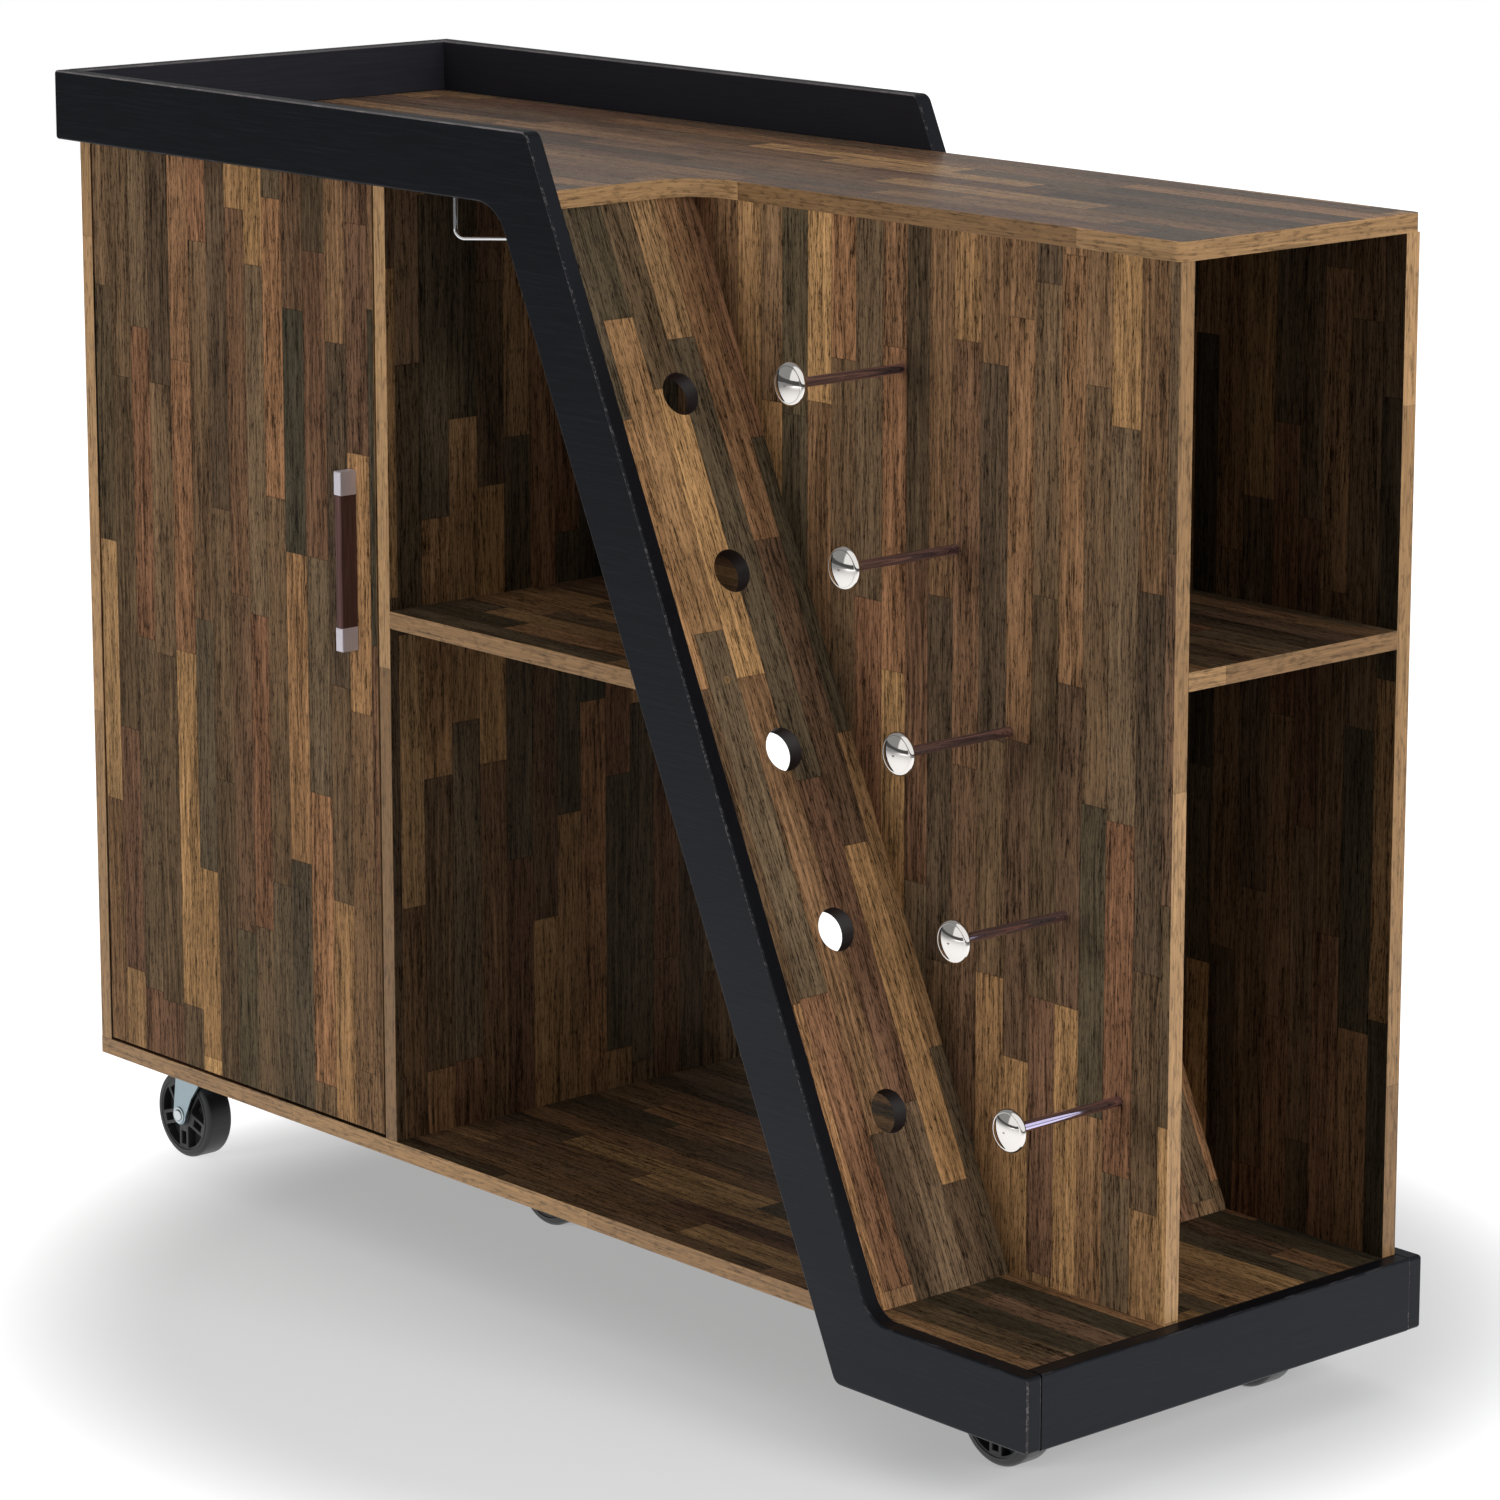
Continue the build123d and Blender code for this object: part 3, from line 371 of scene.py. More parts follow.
    def tint(self, colour: Socket, chance: Value, tint: Tint, mask: Value | None = None) -> Socket:
        """Give a colour's staves a tint by chance.

        Args:
            colour: The colour to tint.
            chance: The random number of each stave that decides.
            tint: Which chances take the tint, how strongly, and its colour.
            mask: Where on the stave it shows, if not all over.

        Returns:
            The tinted colour.
        """
        share = chance.ramp(*tint.chance) * tint.share
        if mask is not None:
            share = share * mask
        return self.mix(share, colour, tint.colour)


class Surface(Graph):
    """The node tree of one material, with a Principled shader at its end."""

    def __init__(self, name: str) -> None:
        """Start an empty material.

        Args:
            name: The material's name.
        """
        self.material = bpy.data.materials.new(name)
        self.material.use_nodes = True
        super().__init__(self.material.node_tree)
        self.shader = self.node("ShaderNodeBsdfPrincipled")
        self.node("ShaderNodeOutputMaterial", sockets={"Surface": self.shader.outputs[0]})

    def place(self) -> tuple[Value, Value, Value]:
        """The surface point's X, Y and Z in the cabinet's frame, in metres."""
        return self.split(self.node("ShaderNodeTexCoord").outputs["Object"])

    def facing(self) -> tuple[Value, Value, Value]:
        """The surface normal's X, Y and Z."""
        return self.split(self.node("ShaderNodeNewGeometry").outputs["Normal"])

    def dress(
        self,
        bump: Value | None = None,
        depth: float = 0.2 * MM,
        strength: float = 0.3,
        **sockets: Any,
    ) -> bpy.types.Material:
        """Feed the shader and hand over the material.

        Args:
            bump: Height of the surface, 0 to 1, if it has relief.
            depth: What a height of 1 measures, in metres.
            strength: How much of the relief shows.
            sockets: The shader's inputs, with underscores for spaces.

        Returns:
            The finished material.
        """
        for key, given in sockets.items():
            self.feed(self.shader.inputs[key.replace("_", " ")], given)
        if bump is not None:
            relief = {"Strength": strength, "Distance": depth, "Height": bump}
            normal = self.node("ShaderNodeBump", sockets=relief).outputs[0]
            self.feed(self.shader.inputs["Normal"], normal)
        return self.material


class Finish(Protocol):
    """Anything that can be made into a material."""

    def material(self) -> bpy.types.Material:
        """The finish as a material."""


class Grain(Enum):
    """Which way a board's staves run: the axes along, across and through it."""

    UPRIGHT_SIDE = ("z", "y", "x")
    UPRIGHT_FRONT = ("z", "x", "y")
    LENGTHWISE = ("x", "y", "z")
    SLANTED = ("run", "y", "normal")

    def places(self, surface: Surface) -> tuple[Value, Value, Value]:
        """Places along, across and through a board.

        Args:
            surface: The material that reads them.

        Returns:
            The three places, in metres.
        """
        x, y, z = surface.place()
        axes = {"x": x, "y": y, "z": z}
        if self is Grain.SLANTED:
            axes["run"] = x * SLOPE_RUN.x + z * SLOPE_RUN.z
            axes["normal"] = x * SLOPE_NORMAL.x + z * SLOPE_NORMAL.z
        along, across, through = (axes[axis] for axis in self.value)
        return along, across, through


@dataclass(frozen=True)
class StaveWalnut:
    """Walnut laminate of staves in mixed browns, each with its own fibres and figure.

    A swing is how far a noise moves the tone, and a depth is how much a feature darkens it. The two
    shifts scatter lanes and staves by their random numbers. The field depth scales the whole tone:
    painted shade below 1 and painted light above 1, for how lit each board stands.
    """

    name: str
    grain: Grain
    seed: float
    roughness: float = 0.48
    shine: float = 0.03
    stain: float = 0.0
    # painted shade or painted light: scales the whole tone for how lit the board stands
    depth: float = 1.0
    stave_width: float = 28 * MM
    stave_length: float = 270 * MM
    lane_unevenness: float = 0.35
    stave_unevenness: float = 0.9
    lane_shift: Range = (83.0, 37.0)
    stave_shift: Range = (9.0, 5.0)
    browns: Stops = (
        (0.00, srgb(56, 50, 39)),
        (0.20, srgb(68, 58, 43)),
        (0.42, srgb(88, 69, 50)),
        (0.62, srgb(107, 80, 56)),
        (0.80, srgb(126, 96, 64)),
        (1.00, srgb(153, 119, 79)),
    )
    reddish: Tint = Tint((0.55, 0.95), 0.5, srgb(110, 74, 55))
    greyish: Tint = Tint((0.32, 0.06), 0.35, srgb(96, 80, 62))
    striped: Tint = Tint((0.66, 0.84), 0.35, srgb(46, 34, 24))
    cracked: Tint = Tint((0.45, 0.75), 0.6, srgb(40, 27, 19))
    stain_brown: Colour = srgb(112, 82, 68)
    wander: Blotches = Blotches((5.0, 26.0, 1.0), 2.0, 0.62)
    broad: Blotches = Blotches((4.0, 75.0, 1.0), 2.0, 0.62, sway=2.0, layer=6.0)
    coarse: Blotches = Blotches((9.0, 280.0, 1.0), 3.0, 0.62, sway=4.0, layer=1.0)
    fine: Blotches = Blotches((45.0, 820.0, 1.0), 2.0, 0.62, sway=6.0, layer=2.0)
    fleck: Blotches = Blotches((170.0, 760.0, 1.0), 2.0, 0.62, layer=3.0)
    contour: Blotches = Blotches((2.4, 17.0, 1.0), 1.5, 0.62, layer=5.0)
    split: Blotches = Blotches((5.5, 150.0, 1.0), 3.0, 0.62, sway=6.0, layer=7.0)
    cloud: Blotches = Blotches((4.0, 15.0, 6.0))
    pore_range: Range = (0.52, 0.40)
    fleck_range: Range = (0.53, 0.61)
    split_range: Range = (0.64, 0.72)
    joint_range: Range = (0.8 * MM, 0.1 * MM)
    ring_count: float = 96.0
    ring_sharpness: float = 1.6
    stripe_pitch: float = 1050.0
    stripe_sway: float = 22.0
    lightness: float = 1.64
    broad_swing: float = 1.5
    coarse_swing: float = 2.9
    pore_depth: float = 0.78
    fleck_depth: float = 0.66
    ring_depth: Range = (0.06, 0.26)
    cloud_level: Range = (0.58, 1.42)
    joint_depth: float = 0.34
    darkest: float = 0.15
    roughness_swing: float = 0.3
    fleck_roughness: float = 0.08
    fleck_relief: float = 0.6
    relief: float = 0.22 * MM

    def material(self) -> bpy.types.Material:
        """The laminate as a material."""
        surface = Surface(self.name)
        along, across, through = self.grain.places(surface)
        lane = surface.strips(across / self.stave_width + self.seed, self.lane_unevenness)
        shift = lane.tone * self.lane_shift[0] + lane.figure * self.lane_shift[1]
        stave = surface.strips(along / self.stave_length + shift, self.stave_unevenness)
        start = stave.jitter * self.stave_shift[0] + stave.figure * self.stave_shift[1]
        place = (along, across, start)

        wander = surface.noise(self.wander, place)
        broad = surface.noise(self.broad, place, wander)
        coarse = surface.noise(self.coarse, place, wander)
        fine = surface.noise(self.fine, place, wander)
        fibre = (coarse + fine) / 2.0
        pores = fine.ramp(*self.pore_range)
        flecks = surface.noise(self.fleck, place).ramp(*self.fleck_range)
        contour = surface.noise(self.contour, place)
        rings = (contour * self.ring_count + start).wave() ** self.ring_sharpness
        waves = (across * self.stripe_pitch + wander * self.stripe_sway).wave()
        splits = surface.noise(self.split, place, wander).ramp(*self.split_range)
        seam = (lane.end * self.stave_width).ramp(*self.joint_range)
        butt = (stave.end * self.stave_length).ramp(*self.joint_range)
        joint = seam + butt - seam * butt
        cloud = surface.noise(self.cloud._replace(layer=self.seed), (along, across, through))

        level = self.lightness + broad.swing(self.broad_swing) + coarse.swing(self.coarse_swing)
        level = level - pores * self.pore_depth - flecks * self.fleck_depth
        level = level - rings * stave.jitter.between(*self.ring_depth)
        level = level * cloud.between(*self.cloud_level) * (1.0 - joint * self.joint_depth)
        # depth here is painted shade or painted light for this board
        level = level.at_least(self.darkest) * self.depth
        colour = surface.ladder(stave.tone, self.browns)
        colour = surface.tint(colour, stave.jitter, self.reddish)
        colour = surface.tint(colour, stave.figure, self.greyish)
        colour = surface.shade(colour, level)
        colour = surface.tint(colour, stave.figure, self.striped, waves)
        colour = surface.tint(colour, stave.jitter, self.cracked, splits)
        if self.stain:
            colour = surface.mix(self.stain, colour, self.stain_brown)
        rough = self.roughness + fibre.swing(self.roughness_swing) + flecks * self.fleck_roughness
        return surface.dress(
            bump=fibre - flecks * self.fleck_relief - joint,
            depth=self.relief,
            Base_Color=colour,
            Roughness=rough,
            Specular_IOR_Level=self.shine,
        )


@dataclass(frozen=True)
class OakBand:
    """Oak-coloured edge band with its grain along the edge, in lengths of slightly different tones.

    Right of the place covered_from, where the frames cover the edge, it is painted dark: a painted
    shade for the gap between board and frame.
    """

    name: str
    grain: Grain
    seed: float
    covered_from: float | None = None
    gap_shade_brown: Colour = srgb(30, 22, 18)
    cover_blend: float = 1 * MM
    tape_length: float = 420 * MM
    tape_unevenness: float = 0.8
    browns: Stops = (
        (0.0, srgb(114, 87, 59)),
        (0.4, srgb(135, 105, 73)),
        (0.7, srgb(148, 116, 80)),
        (1.0, srgb(162, 128, 91)),
    )
    wander: Blotches = Blotches((8.0, 70.0, 1.0))
    fibre: Blotches = Blotches((24.0, 700.0, 9.0), 4.0, 0.62, sway=3.0)
    streak: Blotches = Blotches((13.0, 420.0, 7.0))
    stroke: Blotches = Blotches((90.0, 340.0, 5.0), 3.0, 0.6, sway=2.0)
    streak_range: Range = (0.54, 0.66)
    stroke_range: Range = (0.50, 0.64)
    joint_range: Range = (0.8 * MM, 0.2 * MM)
    lightness: float = 1.18
    fibre_swing: float = 1.6
    streak_depth: float = 0.36
    stroke_depth: float = 0.40
    joint_depth: float = 0.25
    roughness: float = 0.42
    roughness_swing: float = 0.3
    shine: float = 0.3
    relief: float = 0.12 * MM

    def material(self) -> bpy.types.Material:
        """The band as a material."""
        surface = Surface(self.name)
        along, across, through = self.grain.places(surface)
        flat = self.grain is Grain.LENGTHWISE
        run = along + across if flat else along
        side = through if flat else across + through
        tape = surface.strips(run / self.tape_length + self.seed, self.tape_unevenness)
        wander = surface.noise(self.wander, (run, side, self.seed))
        fibre = surface.noise(self.fibre, (run, side, tape.jitter), wander)
        streaks = surface.noise(self.streak, (run, side, tape.figure)).ramp(*self.streak_range)
        strokes = surface.noise(self.stroke, (run, side, tape.jitter), wander)
        strokes = strokes.ramp(*self.stroke_range)
        joint = (tape.end * self.tape_length).ramp(*self.joint_range)
        level = self.lightness + fibre.swing(self.fibre_swing) - streaks * self.streak_depth
        level = level - strokes * self.stroke_depth - joint * self.joint_depth
        colour = surface.shade(surface.ladder(tape.tone, self.browns), level)
        if self.covered_from is not None:
            # painted shade: dark brown on the edge in the gap along the frames
            gap_shade = along.ramp(self.covered_from, self.covered_from + self.cover_blend)
            colour = surface.mix(gap_shade, colour, self.gap_shade_brown)
        return surface.dress(
            bump=fibre - streaks - strokes,
            depth=self.relief,
            Base_Color=colour,
            Roughness=self.roughness + fibre.swing(self.roughness_swing),
            Specular_IOR_Level=self.shine,
        )


class Side(Enum):
    """Which broad face a black rail shows: the axis that its laminate looks along."""

    FRONT = "y"
    END = "x"


@dataclass(frozen=True)
class BlackGrain:
    """Black laminate with fine embossed lines along the rail, wear specks and painted highlights.

    Wear specks lie on all its rounded edges. Upward rounded edges higher up carry speckled painted
    highlights, the crest of the tray's rails a pale painted highlight line, and upright rounded edges
    wear specks over a painted highlight. Their faces that look into the tray, along the axis of their
    side or against it as inward says, are painted a lighter grey: painted light on faces the lamps
    leave dark. The ranges from round_from to looks_inward are shares of the surface normal, and the
    two after them are heights in metres.
    """

    name: str
    side: Side
    inward: float
    # lighter grey for the faces that look into the tray: painted light
    lit_inner_grey: Colour
    blacks: Stops = ((0.25, srgb(7, 8, 10)), (0.52, srgb(11, 12, 15)), (0.75, srgb(20, 22, 27)))
    # pale colour of the wear specks and of the painted edge highlights
    wear_and_highlight_pale: Colour = srgb(158, 150, 150)
    shine: float = 0.19
    shine_tint: Colour = (0.78, 0.86, 1.0, 1.0)
    wander: Blotches = Blotches((6.0, 20.0, 20.0))
    line: Blotches = Blotches((17.0, 700.0, 640.0), 4.0, 0.62)
    line_bend: float = 7.8125 * MM
    speck: Blotches = Blotches((60.0, 500.0, 420.0), 3.0)
    speck_range: Range = (0.52, 0.62)
    round_from: Range = (0.15, 0.35)
    round_to: Range = (0.985, 0.93)
    looks_up: Range = (0.15, 0.5)
    stands_upright: Range = (0.3, 0.1)
    runs_level: Range = (0.35, 0.15)
    looks_inward: Range = (0.90, 0.98)
    upper_height: Range = (0.15, 0.75)
    tray_height: Range = (TRAY_FLOOR, TRAY_FLOOR + 1 * MM)
    # edge_wear is real wear; the upper, corner and crest shares set painted highlights
    edge_wear: float = 0.06
    upper_highlight: float = 0.13
    corner_wear_and_highlight: Range = (0.10, 0.30)
    crest_highlight: float = 0.34
    lit_inner_level: Range = (0.6, 1.4)
    roughness: Range = (0.34, 0.48)
    relief: float = 0.3 * MM
    relief_strength: float = 0.35

    def material(self) -> bpy.types.Material:
        """The laminate as a material."""
        surface = Surface(self.name)
        x, y, z = surface.place()
        normal_x, normal_y, normal_z = surface.facing()
        front = self.side is Side.FRONT
        along, across = (x, y) if front else (y, x)
        outward, sideways = (normal_y, normal_x) if front else (normal_x, normal_y)
        wander = surface.noise(self.wander, (along, across, z))
        lines = surface.noise(self.line, (along, across, z + wander * self.line_bend))
        specks = surface.noise(self.speck, (along, across, z)).ramp(*self.speck_range)
        rounded = abs(outward).ramp(*self.round_from) * abs(outward).ramp(*self.round_to)
        # painted highlight: upward rounded edges higher up, the level crest and upright edges are
        # lightened
        upper = rounded * normal_z.ramp(*self.looks_up) * z.ramp(*self.upper_height)
        corner = rounded * abs(normal_z).ramp(*self.stands_upright)
        crest = upper * abs(sideways).ramp(*self.runs_level)
        # wear specks on every rounded edge, plus painted highlights on the upper, upright and crest
        # edges
        wear_and_highlight = rounded * specks * self.edge_wear + upper * specks * self.upper_highlight
        wear_and_highlight = wear_and_highlight + corner * specks.between(*self.corner_wear_and_highlight) + crest * self.crest_highlight
        # painted light: the tray's inner faces take a lighter grey than the black laminate
        inside = (outward * self.inward).ramp(*self.looks_inward) * z.ramp(*self.tray_height)
        lit_inner_grey = surface.shade(self.lit_inner_grey, lines.between(*self.lit_inner_level))
        colour = surface.mix(inside, surface.ladder(lines, self.blacks), lit_inner_grey)
        return surface.dress(
            bump=lines,
            depth=self.relief,
            strength=self.relief_strength,
            Base_Color=surface.mix(wear_and_highlight, colour, self.wear_and_highlight_pale),
            Roughness=wander.between(*self.roughness),
            Specular_IOR_Level=self.shine,
            Specular_Tint=self.shine_tint,
        )


@dataclass(frozen=True)
class Wenge:
    """Very dark reddish wood of the handle's bar, finely lined and oiled."""

    name: str = "wenge"
    reds: Stops = ((0.3, srgb(62, 40, 38)), (0.55, srgb(88, 60, 56)), (0.8, srgb(116, 84, 78)))
    line: Blotches = Blotches((1500.0, 1500.0, 24.0), 3.0, 0.6)
    roughness: Range = (0.34, 0.49)
    shine: float = 0.3
    relief: float = 0.1 * MM

    def material(self) -> bpy.types.Material:
        """The wood as a material."""
        surface = Surface(self.name)
        lines = surface.noise(self.line, surface.place())
        return surface.dress(
            bump=lines,
            depth=self.relief,
            Base_Color=surface.ladder(lines, self.reds),
            Roughness=lines.between(*self.roughness),
            Specular_IOR_Level=self.shine,
        )


@dataclass(frozen=True)
class BareMetal:
    """A metal finish: how bright, how smooth, how strongly brushed and how cloudy it is."""

    name: str
    colour: Colour
    roughness: float
    brushing: float
    bloom: float
    metallic: float = 1.0
    brush: Blotches = Blotches((2600.0, 2600.0, 60.0))
    cloud: Blotches = Blotches((60.0, 60.0, 60.0), 3.0, 0.6)
    brush_tone: float = 0.4
    brush_roughness: float = 0.2
    bloom_roughness: float = 0.5
    relief: float = 0.05 * MM

    def material(self) -> bpy.types.Material:
        """The metal as a material."""
        surface = Surface(self.name)
        place = surface.place()
        brushed = surface.noise(self.brush, place)
        clouds = surface.noise(self.cloud, place)
        level = 1.0 + clouds.swing(self.bloom) + brushed.swing(self.brushing * self.brush_tone)
        rough = self.roughness + clouds.swing(self.bloom * self.bloom_roughness)
        return surface.dress(
            bump=brushed * self.brushing,
            depth=self.relief,
            Base_Color=surface.shade(self.colour, level),
            Metallic=self.metallic,
            Roughness=rough + brushed * (self.brushing * self.brush_roughness),
        )


@dataclass(frozen=True)
class Lacquer:
    """Smooth lacquer with faint streaks along the cabinet's depth."""

    name: str
    dark: Colour
    light: Colour
    roughness: Range
    streak: Blotches = Blotches((700.0, 25.0, 700.0), 3.0, 0.6)
    streak_range: Range = (0.3, 0.7)
    relief: float = 0.05 * MM

    def material(self) -> bpy.types.Material:
        """The lacquer as a material."""
        surface = Surface(self.name)
        streaks = surface.noise(self.streak, surface.place())
        return surface.dress(
            bump=streaks,
            depth=self.relief,
            Base_Color=surface.mix(streaks.ramp(*self.streak_range), self.dark, self.light),
            Roughness=streaks.between(*self.roughness),
        )


@dataclass(frozen=True)
class MouldedPlastic:
    """Moulded plastic with a faint pebble and dusty scuffs."""

    name: str
    colour: Colour
    roughness: float
    pebble_grey: Colour = srgb(44, 44, 47)
    pebble_share: float = 0.3
    pebble_roughness: float = 0.08
    scuff_grey: Colour = srgb(92, 91, 90)
    scuff_share: float = 0.2
    scuff_roughness: float = 0.15
    scuff_relief: float = 0.4
    scuff_range: Range = (0.56, 0.75)
    pebble: Blotches = Blotches((1400.0, 1400.0, 1400.0))
    scuff: Blotches = Blotches((160.0, 60.0, 160.0), 4.0, 0.65)
    relief: float = 0.12 * MM
    relief_strength: float = 0.25

    def material(self) -> bpy.types.Material:
        """The plastic as a material."""
        surface = Surface(self.name)
        place = surface.place()
        pebble = surface.noise(self.pebble, place)
        scuffs = surface.noise(self.scuff, place).ramp(*self.scuff_range)
        base = surface.mix(pebble * self.pebble_share, self.colour, self.pebble_grey)
        rough = self.roughness + pebble * self.pebble_roughness + scuffs * self.scuff_roughness
        return surface.dress(
            bump=pebble - scuffs * self.scuff_relief,
            depth=self.relief,
            strength=self.relief_strength,
            Base_Color=surface.mix(scuffs * self.scuff_share, base, self.scuff_grey),
            Roughness=rough,
        )


@dataclass(frozen=True)
class BeechDowel:
    """Plain beech with short flecks along the dowel."""

    name: str = "beech_dowel"
    pale: Colour = srgb(196, 160, 118)
    fleck_brown: Colour = srgb(150, 112, 76)
    fleck_share: float = 0.5
    fleck: Blotches = Blotches((500.0, 500.0, 500.0), 3.0)
    fleck_range: Range = (0.5, 0.7)
    roughness: Range = (0.6, 0.7)
    relief: float = 0.1 * MM

    def material(self) -> bpy.types.Material:
        """The wood as a material."""
        surface = Surface(self.name)
        flecks = surface.noise(self.fleck, surface.place()).ramp(*self.fleck_range)
        return surface.dress(
            bump=flecks,
            depth=self.relief,
            Base_Color=surface.mix(flecks * self.fleck_share, self.pale, self.fleck_brown),
            Roughness=flecks.between(*self.roughness),
        )


@cache
def material_of(finish: Finish) -> bpy.types.Material:
    """The material of a finish, made once and shared."""
    return finish.material()


def coat(piece: bpy.types.Object, *finishes: Finish) -> None:
    """Give a piece its finishes, one material slot each.

    Args:
        piece: The piece.
        finishes: Its finishes, in the order of its slots.
    """
    piece.data.materials.clear()
    for finish in finishes:
        piece.data.materials.append(material_of(finish))
    LOG.info("%s: %s", piece.name, ", ".join(slot.name for slot in piece.data.materials))


def paint(nodes: Iterable[str], finish: Finish) -> None:
    """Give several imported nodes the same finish.

    Args:
        nodes: The nodes' names.
        finish: Their finish.
    """
    for name in nodes:
        coat(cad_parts[name], finish)


class BoardFace(IntEnum):
    """The material slots of a board."""

    BROAD = 0
    EDGE = 1
    HOLE = 2


@dataclass(frozen=True)
class Board:
    """One laminate board: its node, the way its staves run and the axis it is thin along."""

    node: str
    grain: Grain
    thin: Vector
    seed: float
    roughness: float = 0.48
    shine: float = 0.03
    stain: float = 0.0
    # painted shade or painted light: scales the laminate's whole tone
    depth: float = 1.0
    covered_from: float | None = None
    broad_cosine: float = 0.7

    def dress(self) -> None:
        """Lay laminate on the broad faces and an oak band on the edges."""
        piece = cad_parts[self.node]
        look = (self.roughness, self.shine, self.stain, self.depth)
        walnut = StaveWalnut(f"walnut_{self.node}", self.grain, self.seed, *look)
        coat(piece, walnut, OakBand(f"band_{self.node}", self.grain, self.seed, self.covered_from))
        for face in piece.data.polygons:
            broad = abs(face.normal.dot(self.thin)) > self.broad_cosine
            face.material_index = BoardFace.BROAD if broad else BoardFace.EDGE


@dataclass
class Carcass:
    """The boards that make the cabinet's body, with their dowels, screws and shelf pins."""

    # depth paints shade on the bay floor, shelves and end bay, and light on the top, divider and
    # slanted board
    boards: Sequence[Board] = (
        Board("top_board", Grain.LENGTHWISE, ALONG_Z, 3.7, 0.28, shine=0.26, stain=0.30, depth=1.5),
        Board("bottom_board", Grain.LENGTHWISE, ALONG_Z, 11.2, depth=0.62, covered_from=FRAME_FOOT),
        Board("middle_shelf", Grain.LENGTHWISE, ALONG_Z, 23.9, depth=0.8),
        Board("end_shelf", Grain.LENGTHWISE, ALONG_Z, 31.4, depth=0.65),
        Board("locker_shelf", Grain.LENGTHWISE, ALONG_Z, 47.3),
        Board("left_side_panel", Grain.UPRIGHT_SIDE, ALONG_X, 5.1),
        Board("divider_panel", Grain.UPRIGHT_SIDE, ALONG_X, 17.6, depth=1.2),
        Board("locker_back_panel", Grain.UPRIGHT_FRONT, ALONG_Y, 29.5),
        Board("peg_panel", Grain.UPRIGHT_FRONT, ALONG_Y, 14.8),
        Board("end_back_panel", Grain.UPRIGHT_FRONT, ALONG_Y, 41.2, depth=0.7),
        Board("slanted_board", Grain.SLANTED, SLOPE_NORMAL, 19.3, depth=1.18),
    )
    hole_margin: float = 25 * MM

    def dress(self) -> None:
        """Dress the boards and what joins them."""
        for board in self.boards:
            board.dress()
        self.shade_bottle_holes()
        paint(("frame_dowels", "panel_dowels"), BeechDowel())
        screw_zinc = BareMetal("screw_zinc", srgb(150, 122, 84), 0.3, 0.1, 0.2, metallic=0.4)
        paint(("shelf_screws", "locker_shelf_pins"), screw_zinc)

    def shade_bottle_holes(self) -> None:
        """Paint the walls of the bottle holes dark brown, a painted shade inside the holes."""
        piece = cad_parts["slanted_board"]
        low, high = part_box("slanted_board")
        # painted shade: dark brown on the hole walls
        hole_shade = Lacquer("hole_painted_shade", srgb(26, 16, 13), srgb(44, 27, 23), (0.5, 0.6))
        piece.data.materials.append(material_of(hole_shade))
        for face in piece.data.polygons:
            edge = face.material_index == BoardFace.EDGE
            inside = low.y + self.hole_margin < face.center.y < high.y - self.hole_margin
            clear = low.z + self.hole_margin < face.center.z < high.z - self.hole_margin
            if edge and inside and clear:
                face.material_index = BoardFace.HOLE


@dataclass
class Frames:
    """The black Z-shaped frames and the end rails between them."""

    # lighter greys painted on the tray's inner faces as painted light, lighter on the end rail
    side_lit_inner_grey: Colour = srgb(31, 31, 36)
    end_lit_inner_grey: Colour = srgb(42, 42, 48)

    def dress(self) -> None:
        """Lay black laminate on the frames and rails, with painted light on the tray's inner faces.
        """
        front_grain = BlackGrain("black_grain_front", Side.FRONT, 1.0, self.side_lit_inner_grey)
        rear_grain = BlackGrain("black_grain_rear", Side.FRONT, -1.0, self.side_lit_inner_grey)
        end_grain = BlackGrain("black_grain_end", Side.END, 1.0, self.end_lit_inner_grey)
        paint(("front_frame",), front_grain)
        paint(("rear_frame",), rear_grain)
        paint(("gallery_end_rail", "base_end_rail"), end_grain)


@dataclass
class LockerDoor:
    """The door with its handle, cup hinges and magnetic catch."""

    panel: Board = Board("door_panel", Grain.UPRIGHT_FRONT, ALONG_Y, 8.4)

    def dress(self) -> None:
        """Dress the panel and its metal."""
        self.panel.dress()
        paint(("handle_bar",), Wenge())
        satin_silver = BareMetal("satin_silver", srgb(212, 206, 214), 0.4, 0.5, 0.06, metallic=0.3)
        paint(("upper_handle_cap", "lower_handle_cap"), satin_silver)
        hinges = sorted(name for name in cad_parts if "hinge" in name)
        nickel = BareMetal("nickel", srgb(198, 195, 188), 0.22, 0.1, 0.10)
        paint((*hinges, "catch_strike", "catch_screws", "handle_screws"), nickel)
        paint(("magnetic_catch",), MouldedPlastic("catch_plastic", srgb(60, 40, 28), 0.5))


class PegFace(IntEnum):
    """The material slots of a bottle peg."""

    HEAD = 0
    ROD = 1


@dataclass
class BottleRack:
    """The pegs that carry the bottles and the wires that hold the glasses."""

    pegs: int = 5
    head_length: float = 9.1 * MM

    def dress(self) -> None:
        """Chrome on the heads and wires, purplish chrome on the rods."""
        chrome = BareMetal("polished_chrome", srgb(228, 224, 219), 0.05, 0.0, 0.05)
        rod_chrome = BareMetal("rod_chrome", srgb(208, 200, 236), 0.10, 0.0, 0.08)
        for number in range(1, self.pegs + 1):
            node = f"bottle_peg_{number}"
            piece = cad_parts[node]
            coat(piece, chrome, rod_chrome)
            rod_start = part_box(node)[0].y + self.head_length
            for face in piece.data.polygons:
                on_rod = face.center.y > rod_start
                face.material_index = PegFace.ROD if on_rod else PegFace.HEAD
        bright_wire = BareMetal("bright_wire", srgb(224, 224, 226), 0.08, 0.0, 0.05)
        paint(("left_stem_rail", "right_stem_rail"), bright_wire)


